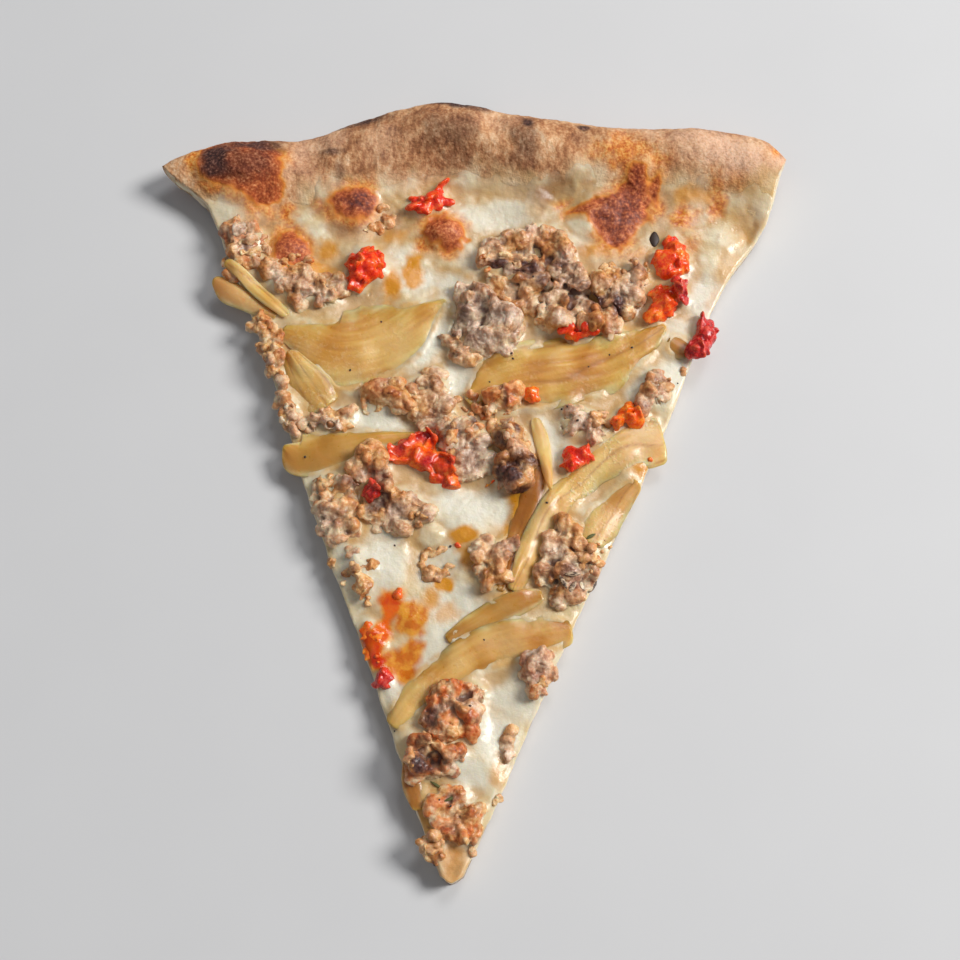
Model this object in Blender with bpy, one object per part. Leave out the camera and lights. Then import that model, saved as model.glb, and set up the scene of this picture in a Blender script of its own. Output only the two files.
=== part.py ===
"""White pizza slice: one eighth of an 18-inch hand-stretched pie.

The slice lies flat, tip towards -Y and crust towards +Y, with its origin at the
bottom centre of its box.  Inside the script every length is in millimetres and
every place is measured from the point where the two cuts would meet (the apex),
with +Y along the middle of the slice.  The dough runs the whole length, the
cheese lies on it and shows at both cuts, and each clump of sausage, strip of
onion and bit of red pepper is a solid of its own that rests on what is below it.
"""

import math

import bmesh
import bpy
from mathutils import Vector
from mathutils.bvhtree import BVHTree

MM = 0.001

# ---------------------------------------------------------------- driving sizes

LEFT_CUT = -22.1            # degrees from the middle of the slice
RIGHT_CUT = 22.1
LEFT_CORNER = -24.4         # the left corner is squashed out past its cut
CORNER_START = 214.0        # distances from the apex over which it turns out
CORNER_END = 234.0
RIGHT_BULGE = 0.9           # degrees by which the crumb swells out of the right cut
BULGE_RADIUS = 216.0
BULGE_REACH = 15.0
TIP_RADIUS = 5.6            # where the point of the slice ends
TIP_ROUNDING = 2.6          # how far the point is rounded back at the cuts
CUT_WAVE = 0.3              # degrees that the cutter wandered
CUT_WAVE_LENGTH = 19.0      # distance in which that wave turns by one radian

DOUGH_TOP = 3.6             # flat part of the dough
LAYER_GAP = 0.3             # clearance between solids that touch
CHEESE_TOP = 6.2
CHEESE_EDGE = 0.6           # thickness where the cheese ends on the rim
CHEESE_LEAST = 0.5
CHEESE_WAVE = 0.42          # height of the ripples of the cheese
RIPPLE_X = 5.3              # distances in which the ripples turn by one radian
RIPPLE_Y = 7.1
RIPPLE_SLANT = 6.2
CUT_DROOP = 0.7             # how far the cheese sinks at the cuts
DROOP_START = 0.86          # places across the slice where that begins
BUBBLE_POWER = 1.2          # flanks of the bubbles: 1 is a plain bowl, more is softer

RIM_TOE = 30.0              # the rim starts to rise this far inside its edge
RIM_LIP = 1.6               # bare dough steps up to the skin in this distance
RIM_WIDEST = 0.38           # height of the rim's widest line, as part of its crest
RIM_UNDER = 0.5             # squareness of the lower half of the rim
RIM_LEAN = 3.0              # the cut ends of the rim lean in towards the top
LEAN_START = 0.82
LEAN_TOP = 14.0
CALM_REACH = 8.0            # the ripples die out this far either side of the rim's toe
CORNER_LIFT = {-1: 7.0, 1: 4.0}     # the two outer corners curl up
LIFT_START = 0.72
LIFT_INNER = 204.0
LIFT_OUTER = 238.0

# Angle, outer radius, crest height, crest's distance from the edge, and the
# distance from the edge at which the cheese ends.
RIM = (
    (-24.4, 233.5, 5.0, 7.0, 19.0),
    (-22.0, 235.0, 8.0, 8.5, 25.0),
    (-18.5, 235.5, 12.0, 10.0, 28.0),
    (-14.0, 231.5, 11.0, 9.0, 15.0),
    (-9.5, 234.5, 13.0, 10.5, 21.0),
    (-3.4, 238.5, 15.5, 12.0, 24.0),
    (2.0, 235.5, 15.0, 12.0, 22.0),
    (8.0, 235.0, 13.5, 11.0, 21.0),
    (12.5, 238.0, 13.0, 11.0, 25.0),
    (15.8, 242.0, 14.0, 11.0, 25.0),
    (20.2, 243.5, 11.5, 10.0, 24.0),
    (22.1, 240.5, 9.0, 9.0, 22.0),
)

# Bubbles and hollows of the skin: x, y, half length, half width, turn in degrees,
# height.
BUBBLES = (
    (-73.0, 210.5, 15.5, 10.5, -4.0, 3.2),      # large dark blister of the rim
    (-38.0, 201.0, 9.0, 7.5, 10.0, 2.6),        # maroon blister
    (-11.0, 193.5, 7.0, 5.6, 0.0, 3.2),
    (-57.0, 187.5, 6.2, 5.2, 0.0, 2.6),
    (37.0, 202.0, 12.5, 9.5, 15.0, 3.6),        # large red-brown blister
    (46.5, 213.5, 8.0, 4.6, 60.0, 1.8),
    (22.0, 209.0, 6.5, 4.5, 20.0, -1.6),
    (63.0, 204.0, 8.0, 6.0, 0.0, 1.0),
    (-12.0, 226.0, 15.0, 8.0, 0.0, 1.4),        # swellings of the rim
    (14.0, 226.0, 9.0, 7.0, 0.0, 1.2),
    (58.0, 227.0, 16.0, 8.0, -12.0, 1.3),
    (2.0, 229.0, 5.0, 7.0, 0.0, -1.2),
    (-53.0, 218.0, 7.0, 8.0, 0.0, -1.4),
    (31.0, 222.0, 6.0, 8.0, 0.0, -1.1),
    (-10.5, 99.0, 5.0, 4.2, 20.0, 1.4),         # sausage sunk in the cheese
    (0.0, 105.0, 13.0, 9.0, 20.0, 1.1),         # puffs of the cheese
    (-22.0, 92.0, 10.0, 9.0, 0.0, 0.9),
    (4.0, 40.0, 7.0, 12.0, 0.0, 0.8),
    (-14.0, 146.0, 8.0, 12.0, -30.0, 1.0),
    (70.0, 192.0, 9.0, 12.0, -20.0, 0.8),
)

# ------------------------------------------------------------------- toppings

# Lobes of each clump: x, y, radius, height.
SAUSAGE = {
    "sausage_01": ((-74, 192, 3.5, 3.2), (-72.5, 188.5, 3.5, 4), (-68.5, 190, 4, 3),
                   (-71, 184, 4.5, 4), (-68, 181, 4, 3), (-73, 180, 3.5, 3)),
    "sausage_02": ((-62, 180, 3.5, 3), (-57, 176, 4.5, 3.5), (-52, 179, 4, 3.5),
                   (-50, 174.5, 4.6, 4), (-45, 172.5, 4, 3.5), (-42, 175.5, 4, 3.5), (-53, 171.5, 3, 2.5)),
    "sausage_03": ((-64.5, 164.5, 3, 2.8), (-62.5, 161, 3.5, 3.6), (-60, 156.5, 3.5, 3),
                   (-59, 151.5, 3.5, 3), (-57, 145.5, 3, 2.6)),
    "sausage_04": ((-54, 138, 3, 3), (-52.5, 133.5, 3, 3.2), (-51, 129.8, 2.6, 2.6)),
    "sausage_05": ((-46, 131.5, 2.8, 2.4), (-41, 133.5, 3.5, 2.8), (-36.5, 132.6, 3, 2.6),
                   (-34.5, 135.5, 2.5, 2.2)),
    "sausage_06": ((-28.5, 138.5, 3.5, 2.6), (-24, 141, 4.5, 4.2), (-20.5, 139.5, 3.5, 3)),
    "sausage_07": ((-12, 143.5, 4.5, 4), (-15.5, 140, 3.8, 3), (-9.5, 137, 4.5, 4.2),
                   (-14, 134.5, 4, 3.6), (-9, 132.5, 3.6, 3)),
    "sausage_08": ((-30, 122.5, 3.5, 4.5), (-26.5, 119.5, 4, 5), (-31, 117.5, 4, 4),
                   (-24, 116, 3, 3.2)),
    "sausage_09": ((-41.5, 112, 3, 3.2), (-35.5, 112.5, 4.5, 4.2), (-40, 106.5, 4.5, 4),
                   (-34.5, 105.5, 4.5, 3.8), (-39, 100.5, 3.5, 3.6), (-34, 100.5, 4, 3.2),
                   (-37, 97, 3, 2.6)),
    "sausage_10": ((-31, 93.5, 2.5, 2.2), (-30, 88.5, 2.6, 2.2), (-28.5, 84, 2.5, 2.2),
                   (-26.5, 89.5, 2.2, 1.8)),
    "sausage_11": ((-23.5, 111.5, 3.6, 4.2), (-20.5, 108.5, 4.5, 4.6), (-27, 104.5, 3.5, 3.5),
                   (-22.5, 103.5, 4, 3.6), (-16, 107, 4, 3.8), (-12.5, 105.5, 3.6, 3.4),
                   (-17.5, 102.5, 3.5, 2.8), (-27, 108.5, 3, 3)),
    "sausage_12": ((4, 189, 4, 5), (2.5, 184, 3.2, 3.8), (12, 191.5, 4.6, 6.2),
                   (15.5, 195.5, 3, 3.8), (20, 193, 4, 4.4), (24.5, 190, 4.2, 5.2),
                   (25, 184.5, 4.5, 5), (11, 182.5, 4.4, 3), (18, 184, 4.4, 3.2)),
    "sausage_13": ((6, 177.5, 4, 4.4), (9.5, 173, 4, 3.4), (14, 176.5, 4, 3.4),
                   (18.5, 177.5, 4, 3.6), (15, 171.5, 3.6, 3)),
    "sausage_14": ((-3, 173.5, 4, 4.4), (1, 172.5, 4.4, 5.2), (-1, 167, 6, 6.2),
                   (4, 168, 6, 6.8), (7.5, 163.5, 5.8, 6.4), (3.5, 159.5, 5.5, 5.4),
                   (8.5, 160.5, 4, 4.8), (-4.5, 161.5, 3.6, 3.8)),
    "sausage_15": ((-7.5, 159, 3, 2.6), (-4.5, 155, 3.6, 3.2), (-0.5, 153.5, 2.8, 2.8)),
    "sausage_16": ((24, 173, 5, 4.8), (24.5, 167, 5, 4.8), (19.5, 166.5, 4, 4),
                   (29, 178.5, 4.6, 5), (31, 171, 4, 3.6)),
    "sausage_17": ((36, 178.5, 4.4, 4.6), (42, 177.5, 4.8, 5.2), (46, 181, 4, 4.4),
                   (39.5, 173, 4.5, 4.6), (43.5, 172, 3.2, 3.6)),
    "sausage_18": ((33, 167, 4.4, 4.6), (37.5, 166.5, 3.6, 4), (40.5, 164.5, 2.8, 3)),
    "sausage_19": ((6, 141, 3.5, 3.2), (10, 141.5, 4, 3.6), (8.5, 138.4, 3, 2.6)),
    "sausage_20": ((-6, 129, 4, 4), (-1.5, 131, 4, 3.8), (1.5, 127, 4.2, 4),
                   (-1.5, 122.8, 4, 3.6), (-0.5, 118.5, 3.8, 3.6), (4, 122.5, 3.5, 3)),
    "sausage_21": ((11, 128.5, 5, 6.4), (13.5, 124, 4.2, 5.4), (9.5, 119, 4.5, 4.2),
                   (14, 117.5, 3.5, 3.6)),
    "sausage_22": ((29.5, 136.5, 3.6, 3), (34, 134.5, 4, 3.2), (34.5, 130.5, 3, 2.6),
                   (28.5, 133.5, 3, 2.2)),
    "sausage_23": ((52, 148.5, 3.4, 2.8), (50.5, 144.5, 3.8, 3.6), (54, 143.5, 3, 2.6),
                   (49, 142, 2.5, 2.2)),
    "sausage_24": ((28.5, 101, 4, 3.6), (32, 97, 4.5, 4.2), (25.5, 95.5, 4.5, 4.6),
                   (29, 91, 5, 4.6), (33.5, 90.5, 3.4, 3), (23, 89.5, 4, 3.6),
                   (27.5, 85, 4.5, 3.8), (31.5, 85, 3, 2.6)),
    "sausage_25": ((4, 95.5, 3.5, 3.2), (8, 93, 4, 3.6), (11.5, 96.5, 3, 2.6),
                   (7, 88.5, 3.5, 3.2), (10, 89.5, 3, 2.6)),
    "sausage_26": ((4.5, 55, 3.4, 3.6), (-0.5, 55, 4, 4.2), (-5.5, 52.5, 4, 4),
                   (2, 50.5, 4.5, 4.6), (-2.5, 49.5, 4.5, 5), (-7.5, 47.5, 3.8, 4),
                   (3.5, 46, 3.5, 3.2), (-3.5, 44.5, 4.5, 4.6)),
    "sausage_27": ((-9, 41.5, 3.8, 3.6), (-4.5, 39, 4.2, 4), (-9, 35.6, 3.5, 3.6),
                   (-5.5, 35.2, 3.4, 3.2), (-2, 35.4, 2.5, 2.6), (0, 39.5, 2.5, 2.6)),
    "sausage_28": ((21, 64, 4, 4), (23, 61.5, 3.2, 3.6), (19.5, 61, 3.5, 3.2),
                   (20.5, 57.5, 3, 3)),
    "sausage_29": ((0.5, 28, 3.5, 3.2), (-3.5, 26, 3.4, 3), (-4, 21.5, 3, 2.8),
                   (0, 24, 3.5, 3.6), (4, 22, 4.5, 4.2), (6.4, 24, 2.8, 3),
                   (0.5, 18.5, 3.4, 3.6), (4.8, 18, 3.2, 3)),
    "sausage_30": ((-4.6, 15.6, 2.8, 2.6), (-4, 12.5, 2.6, 2.6), (-6, 13.6, 2.4, 2.2)),
}
# This clump lies on the upper onion.
UPPER_SAUSAGE = ("sausage_19",)

PEPPER = {
    "pepper_01": ((-20.5, 203, 2.4, 2.4), (-17, 201.5, 3, 3.4), (-14, 204.5, 3, 3.6),
                  (-12, 208.5, 2, 2.8), (-10.8, 204.5, 2, 2.2)),
    "pepper_02": ((-34, 180.5, 5.2, 5.4), (-36.5, 183, 3, 4), (-31, 182.5, 3.5, 4.4),
                  (-33, 186.5, 2.2, 3), (-36.5, 174, 2.5, 2.6)),
    "pepper_03": ((-21, 123, 3, 3), (-16.5, 124.5, 4, 4), (-13, 127, 3, 3.2),
                  (-12.5, 121.5, 4, 4.4), (-8, 120, 4, 4.4), (-6, 115.5, 3.4, 3.6)),
    "pepper_04": ((-27.3, 111, 2.8, 3),),
    "pepper_05": ((27.5, 161.5, 2.4, 2.4), (30.5, 162.2, 2.4, 2.8), (34, 163.4, 2.4, 2.4)),
    "pepper_06": ((54, 187, 3.4, 4), (58, 189.5, 4, 5), (60, 185.5, 3, 4),
                  (56, 184, 3.5, 4), (57, 193.5, 2.2, 2.6)),
    "pepper_07": ((52, 169, 3.4, 4), (55, 173, 4, 5), (58, 176, 3, 4.4), (53.5, 177, 2.8, 3.4)),
    "pepper_08": ((59, 179.5, 2.6, 4), (60, 175, 2.4, 3)),
    "pepper_09": ((66, 167.5, 3, 4), (67, 163, 3.6, 5), (65, 158.5, 3.4, 4.8),
                  (62.5, 157.5, 2.5, 3)),
    "pepper_10": ((41.5, 135, 2.8, 3.6), (44.5, 138.5, 2.8, 3.2), (47, 136.5, 2.2, 2.6)),
    "pepper_11": ((28.5, 125, 3, 4), (28.5, 121.5, 3, 4), (32.5, 124, 2.8, 3.6)),
    "pepper_12": ((-21, 58, 2.6, 3),),
    "pepper_13": ((17, 141.5, 2.4, 2.4), (17.8, 144, 1.6, 1.8)),
    "pepper_14": ((-26, 72, 3, 2), (-23.5, 68.5, 3.4, 2.2), (-25, 65, 2.8, 1.8)),
}

# Middle line of each strip of onion: x, y, full width.
ONION = {
    "onion_01": ((-78.5, 176, 3), (-74, 172.5, 7), (-67, 168.5, 6), (-59, 164.5, 3.5)),
    "onion_02": ((-56.5, 160, 5), (-50, 158, 12), (-41, 154.5, 24), (-31, 156, 26),
                 (-22, 161, 20), (-15, 167, 10), (-9.5, 171.5, 2.5)),
    "onion_03": ((-54.5, 153, 4), (-50.5, 147.5, 9), (-46.5, 142, 12), (-42, 136.8, 9)),
    "onion_04": ((-53.5, 124, 2), (-49, 121.5, 12), (-42, 123, 13), (-35, 124.8, 10.5),
                 (-28, 127.2, 5.5), (-21.5, 128.4, 4.5), (-16, 129, 2.5)),
    "onion_05": ((-1.5, 139.5, 5), (5, 145, 15), (15, 148.5, 20), (26, 150.5, 21),
                 (36, 153, 18), (45, 158, 13), (51, 162.5, 8), (55, 166, 2.5)),
    "onion_06": ((56, 161.5, 6), (59.5, 159.6, 8), (62.5, 157.5, 5)),
    "onion_07": ((19.5, 121, 9), (18.5, 114, 10), (16, 105, 9), (13, 94.5, 8), (9.5, 84, 5)),
    "onion_08": ((47.5, 117.5, 4), (42.5, 112, 8), (37.5, 105, 11), (34.5, 98.5, 7)),
    "onion_09": ((55, 131, 15), (47, 129, 14), (40, 125, 12.5), (33, 119.5, 11),
                 (27, 112.5, 9.5), (21.5, 103.5, 8.5), (17.5, 94.5, 7.5), (13.5, 84, 4)),
    "onion_10": ((18, 135.5, 3), (20, 129.5, 4.2), (21.5, 121.5, 3.6), (23, 113, 1.2)),
    "onion_11": ((21.5, 83.5, 4), (14, 80.5, 7), (5, 75.5, 7), (-4, 69.5, 3.5)),
    "onion_12": ((30, 73.5, 7), (20, 71.5, 11.5), (10, 69, 12), (1, 64.5, 11),
                 (-8, 58, 10), (-14, 51, 8.5), (-17.5, 45.5, 5)),
    "onion_13": ((-12.5, 39, 3.5), (-11.5, 31, 6), (-9, 24, 4)),
    "onion_14": ((-75, 180.5, 3), (-69, 176, 4), (-62, 169.8, 4), (-55.5, 164.6, 3)),
}
# These lie on sausage and on other strips, so they are set down after them.
UPPER_ONION = ("onion_05", "onion_14")

ONION_THICKNESS = 1.3
ONION_EDGE = 0.55
ONION_STEP = 5.0            # cell of a strip, along and across
NEARBY = 0.5                # a strip's direction is read over twice this length
SAUSAGE_CELL = 2.9          # cell round a clump
PEPPER_CELL = 3.2
FEWEST_SIDES = 7
MOST_SIDES = 20
SMALL_CLUMP = 4.0           # clumps narrower than this have fewer rings
FOOTPRINT = 0.16            # ground under a point of a clump is read over this part of it
LOBE_LEAST = 0.45           # lowest height between two lobes, as part of the first lobe
SHORTEST_REACH = 1.6
REACH_STEP = 0.4
REACH_PROBE = 0.5
STRIP_FOOTPRINT = 0.3       # the same for a strip, as part of its cell
SAUSAGE_CLIMB = 1.8         # a clump is cut short where it would climb more than this
PEPPER_CLIMB = 3.2
TOPPING_GAP = 0.4
LEAST_GAP = 0.25
LIFT_STEP = 0.25            # a piece nearer than that to another is raised by steps
MOST_LIFTS = 30

CHEESE_CELL = 4.7           # cell of the cheese's upper side
DOUGH_CELL = 9.0            # cell of the flat dough
RIM_CELL = 5.2              # cell along the rim

# Colours: red, green, blue, roughness.
CRUST = (0.55, 0.34, 0.18, 0.85)
CHEESE = (0.86, 0.78, 0.58, 0.35)
MEAT = (0.36, 0.22, 0.14, 0.6)
AMBER = (0.66, 0.42, 0.15, 0.3)
RED = (0.72, 0.09, 0.03, 0.3)


# ------------------------------------------------------------------ small maths

def blend(low, high, value):
    """0 below low, 1 above high, and smooth in between."""
    part = min(1.0, max(0.0, (value - low) / (high - low)))
    return part * part * (3.0 - 2.0 * part)


def mix(a, b, part):
    return a + (b - a) * part


def curve_through(points, value):
    """Smooth curve through rows (key, a, b, ...), read at a key; gives (a, b, ...)."""
    last = len(points) - 1
    value = min(points[last][0], max(points[0][0], value))
    index = 0
    while index < last - 1 and value > points[index + 1][0]:
        index += 1
    before = points[max(index - 1, 0)]
    start = points[index]
    end = points[index + 1]
    after = points[min(index + 2, last)]
    span = end[0] - start[0]
    part = (value - start[0]) / span
    result = []
    for column in range(1, len(start)):
        slope_in = (end[column] - before[column]) / (end[0] - before[0]) * span
        slope_out = (after[column] - start[column]) / (after[0] - start[0]) * span
        result.append(start[column] * (2 * part ** 3 - 3 * part ** 2 + 1)
                      + slope_in * (part ** 3 - 2 * part ** 2 + part)
                      + end[column] * (3 * part ** 2 - 2 * part ** 3)
                      + slope_out * (part ** 3 - part ** 2))
    return result


# ------------------------------------------------------------ form of the slice

def cut_angle(side, radius):
    """Angle of the left (-1) or right (1) cut at a distance from the apex."""
    wave = CUT_WAVE * math.sin(radius / CUT_WAVE_LENGTH + side)
    if side > 0:
        bulge = RIGHT_BULGE * math.exp(-((radius - BULGE_RADIUS) / BULGE_REACH) ** 2)
        return RIGHT_CUT + bulge + wave
    return mix(LEFT_CUT, LEFT_CORNER, blend(CORNER_START, CORNER_END, radius)) + wave


def rim_angle(across):
    """Angle at which the rim's table is read for a place across the slice."""
    return across * (RIGHT_CUT if across > 0 else -LEFT_CORNER)


def rim_at(across):
    return curve_through(RIM, rim_angle(across))


def relief(x, y):
    """Height of the bubbles and hollows."""
    total = 0.0
    for cx, cy, length, width, turn, height in BUBBLES:
        dx = x - cx
        dy = y - cy
        c = math.cos(math.radians(turn))
        s = math.sin(math.radians(turn))
        along = (c * dx + s * dy) / length
        aside = (c * dy - s * dx) / width
        distance = along * along + aside * aside
        if distance < 1.0:
            total += height * (1.0 - distance) ** BUBBLE_POWER
    return total


def waves(x, y):
    """Height of the ripples: two trains of waves that cross."""
    return CHEESE_WAVE * (math.sin(x / RIPPLE_X + 0.7) * math.cos(y / RIPPLE_Y)
                          + 0.7 * math.sin((x + 1.3 * y) / RIPPLE_SLANT))


def lift(across, radius):
    """How far the slice curls up at its two outer corners."""
    side = 1 if across > 0 else -1
    outward = blend(LIFT_INNER, LIFT_OUTER, radius)
    return CORNER_LIFT[side] * blend(LIFT_START, 1.0, abs(across)) * outward


def flat_place(across, radius):
    side = 1 if across > 0 else -1
    angle = math.radians(abs(across) * cut_angle(side, radius))
    return radius * math.sin(angle), radius * math.cos(angle)


def place(across, radius, z):
    """Point of the slice: across -1..1, distance from the apex, height."""
    x, y = flat_place(across, radius)
    lean = RIM_LEAN * blend(LEAN_START, 1.0, abs(across)) * blend(CHEESE_TOP, LEAN_TOP, z)
    x -= math.copysign(lean, across) if across else 0.0
    return x, y, z + lift(across, radius)


def slope(across, radius):
    """Height of the skin without bubbles, from the flat part up to the rim's crest."""
    outer, height, crest, _ = rim_at(across)
    return mix(CHEESE_TOP, height, blend(outer - RIM_TOE, outer - crest, radius))


def skin(across, radius):
    """Height of the visible upper side, cheese or crust, up to the rim's crest."""
    x, y = flat_place(across, radius)
    outer = rim_at(across)[0]
    toe = outer - RIM_TOE
    calm = 1.0 - blend(toe - CALM_REACH, toe + CALM_REACH, radius)
    droop = CUT_DROOP * blend(DROOP_START, 1.0, abs(across)) * calm
    return slope(across, radius) + relief(x, y) + waves(x, y) * calm - droop


def cheese_end(across):
    outer, _, _, end = rim_at(across)
    return outer - end


def cheese_depth(across, radius):
    """Nominal thickness of the cheese, thinning as it climbs the rim."""
    toe = rim_at(across)[0] - RIM_TOE
    thin = blend(toe, cheese_end(across), radius)
    return mix(CHEESE_TOP - DOUGH_TOP - LAYER_GAP, CHEESE_EDGE, thin)


def tip_radius(across):
    return TIP_RADIUS + TIP_ROUNDING * across * across


def spread(radius, cell):
    """Places across the slice at a distance from the apex, about a cell apart."""
    width = 2.0 * radius * math.sin(math.radians(RIGHT_CUT))
    count = max(3, round(width / cell))
    return [2.0 * index / count - 1.0 for index in range(count + 1)]


# ------------------------------------------------------------- building meshes

def strip(lower, upper):
    """Triangles between two rows of (across, vertex), facing up."""
    faces = []
    i = 0
    j = 0
    while i < len(lower) - 1 or j < len(upper) - 1:
        take_lower = j == len(upper) - 1
        if not take_lower and i < len(lower) - 1:
            take_lower = lower[i + 1][0] <= upper[j + 1][0] + 1e-9
        if take_lower:
            faces.append((lower[i][1], lower[i + 1][1], upper[j][1]))
            i += 1
        else:
            faces.append((lower[i][1], upper[j + 1][1], upper[j][1]))
            j += 1
    return faces


def sheet_solid(rows, top_point, bottom_point, closed_end):
    """Closed solid between two surfaces over the same rows of places across.

    top_point and bottom_point take a row's number and a place across.  With
    closed_end the two surfaces share their last row.
    """
    points = []
    top = []
    bottom = []
    last = len(rows) - 1
    for number, row in enumerate(rows):
        top.append([(across, len(points) + k) for k, across in enumerate(row)])
        points += [top_point(number, across) for across in row]
    for number, row in enumerate(rows):
        if closed_end and number == last:
            bottom.append(top[last])
            continue
        bottom.append([(across, len(points) + k) for k, across in enumerate(row)])
        points += [bottom_point(number, across) for across in row]

    faces = []
    for number in range(last):
        faces += strip(top[number], top[number + 1])
        faces += [face[::-1] for face in strip(bottom[number], bottom[number + 1])]
        for side in (0, -1):
            wall = [top[number][side][1], top[number + 1][side][1],
                    bottom[number + 1][side][1], bottom[number][side][1]]
            if wall[1] == wall[2]:
                wall.pop(2)
            faces.append(tuple(wall if side == 0 else wall[::-1]))
    ends = [(top[0], bottom[0], 1)]
    if not closed_end:
        ends.append((top[last], bottom[last], -1))
    for high, low, turn in ends:
        for k in range(len(high) - 1):
            wall = (high[k][1], low[k][1], low[k + 1][1], high[k + 1][1])
            faces.append(wall[::turn])
    return points, faces


def material(name, colour):
    found = bpy.data.materials.get(name)
    if found:
        return found
    made = bpy.data.materials.new(name)
    made.use_nodes = True
    shader = made.node_tree.nodes["Principled BSDF"]
    shader.inputs["Base Color"].default_value = (colour[0], colour[1], colour[2], 1.0)
    shader.inputs["Roughness"].default_value = colour[3]
    shader.inputs["Metallic"].default_value = 0.0
    return made


FLAT_ANGLE = math.radians(0.01)
SHARP_ANGLE = math.radians(50.0)


def add_object(name, points, faces, finish, merge_flat=False):
    """Mesh object from points in millimetres; flat neighbours can become one face."""
    mesh = bpy.data.meshes.new(name)
    shifted = [((x - CENTRE[0]) * MM, (y - CENTRE[1]) * MM, z * MM) for x, y, z in points]
    mesh.from_pydata(shifted, [], faces)
    work = bmesh.new()
    work.from_mesh(mesh)
    if merge_flat:
        bmesh.ops.dissolve_limit(work, angle_limit=FLAT_ANGLE,
                                 verts=work.verts, edges=work.edges)
    bmesh.ops.triangulate(work, faces=work.faces)
    bmesh.ops.recalc_face_normals(work, faces=work.faces)
    work.to_mesh(mesh)
    work.free()
    mesh.materials.append(finish)
    mesh.shade_smooth()
    mesh.set_sharp_from_angle(angle=SHARP_ANGLE)
    made = bpy.data.objects.new(name, mesh)
    bpy.context.scene.collection.objects.link(made)
    return made


# ---------------------------------------------------------------- dough, cheese

def flat_rows(cell):
    """Fractions of the way from the tip to the rim's toe."""
    count = round((RIM[0][1] - RIM_TOE) / cell)
    return [index / count for index in range(count + 1)]


CLIMB = (0.25, 0.5, 0.75, 1.0)                  # rows of the slope under the cheese
TO_CREST = (0.35, 0.7, 1.0)                     # rows of bare skin up to the crest
ROUND = (70, 50, 30, 12, -8, -30, -56, -90)     # degrees round the rim's outer side


def make_dough():
    flat = flat_rows(DOUGH_CELL)
    stages = [("flat", part) for part in flat]
    stages += [("climb", part) for part in CLIMB]
    stages += [("crest", part) for part in (0.0,) + TO_CREST]
    stages += [("round", degrees) for degrees in ROUND]
    first_rim = len(flat)
    rim_rows = len(stages) - first_rim

    def top_point(number, across):
        kind, part = stages[number]
        outer, height, crest, end = rim_at(across)
        toe = outer - RIM_TOE
        if kind == "flat":
            radius = mix(tip_radius(across), toe, part)
            return place(across, radius, DOUGH_TOP)
        if kind == "climb":
            radius = mix(toe, outer - end, part)
            z = slope(across, radius) - cheese_depth(across, radius) - LAYER_GAP
            return place(across, radius, z)
        if kind == "crest":
            radius = mix(outer - end + RIM_LIP, outer - crest, part)
            return place(across, radius, skin(across, radius))
        turn = math.radians(part)
        widest = RIM_WIDEST * height
        if part >= 0:
            radius = outer - crest + crest * math.cos(turn)
            x, y = flat_place(across, radius)
            z = widest + (height + relief(x, y) - widest) * math.sin(turn)
        else:
            radius = outer - crest + crest * max(0.0, math.cos(turn)) ** RIM_UNDER
            z = widest * (1.0 + math.sin(turn))
        return place(across, radius, z)

    def bottom_point(number, across):
        outer, _, crest, _ = rim_at(across)
        toe = outer - RIM_TOE
        if number < first_rim:
            radius = mix(tip_radius(across), toe, stages[number][1])
        else:
            radius = mix(toe, outer - crest, (number - first_rim + 1) / rim_rows)
        return place(across, radius, 0.0)

    rows = []
    for number, (kind, part) in enumerate(stages):
        radius = mix(TIP_RADIUS, RIM[0][1] - RIM_TOE, part) if kind == "flat" else RIM[0][1]
        rows.append(spread(radius, DOUGH_CELL if kind == "flat" and part < 1.0 else RIM_CELL))
    return sheet_solid(rows, top_point, bottom_point, closed_end=True)


def make_cheese():
    flat = flat_rows(CHEESE_CELL)
    stages = [("flat", part) for part in flat] + [("climb", part) for part in CLIMB]

    def radius_at(number, across):
        kind, part = stages[number]
        toe = rim_at(across)[0] - RIM_TOE
        if kind == "flat":
            return mix(tip_radius(across), toe, part)
        return mix(toe, cheese_end(across), part)

    def bottom_z(number, across):
        radius = radius_at(number, across)
        if stages[number][0] == "flat":
            return DOUGH_TOP + LAYER_GAP
        return slope(across, radius) - cheese_depth(across, radius)

    def top_point(number, across):
        radius = radius_at(number, across)
        z = max(skin(across, radius), bottom_z(number, across) + CHEESE_LEAST)
        return place(across, radius, z)

    def bottom_point(number, across):
        return place(across, radius_at(number, across), bottom_z(number, across))

    rows = []
    for kind, part in stages:
        radius = mix(TIP_RADIUS, RIM[0][1] - RIM_TOE, part) if kind == "flat" else RIM[0][1]
        rows.append(spread(radius, CHEESE_CELL if kind == "flat" and part < 1.0 else RIM_CELL))
    return sheet_solid(rows, top_point, bottom_point, closed_end=False)


# ------------------------------------------------------------------ the toppings

PROBE_RINGS = ((0.5, 6), (1.0, 10))     # part of the reach, number of places
SKY = 100.0                             # a height above everything


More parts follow.
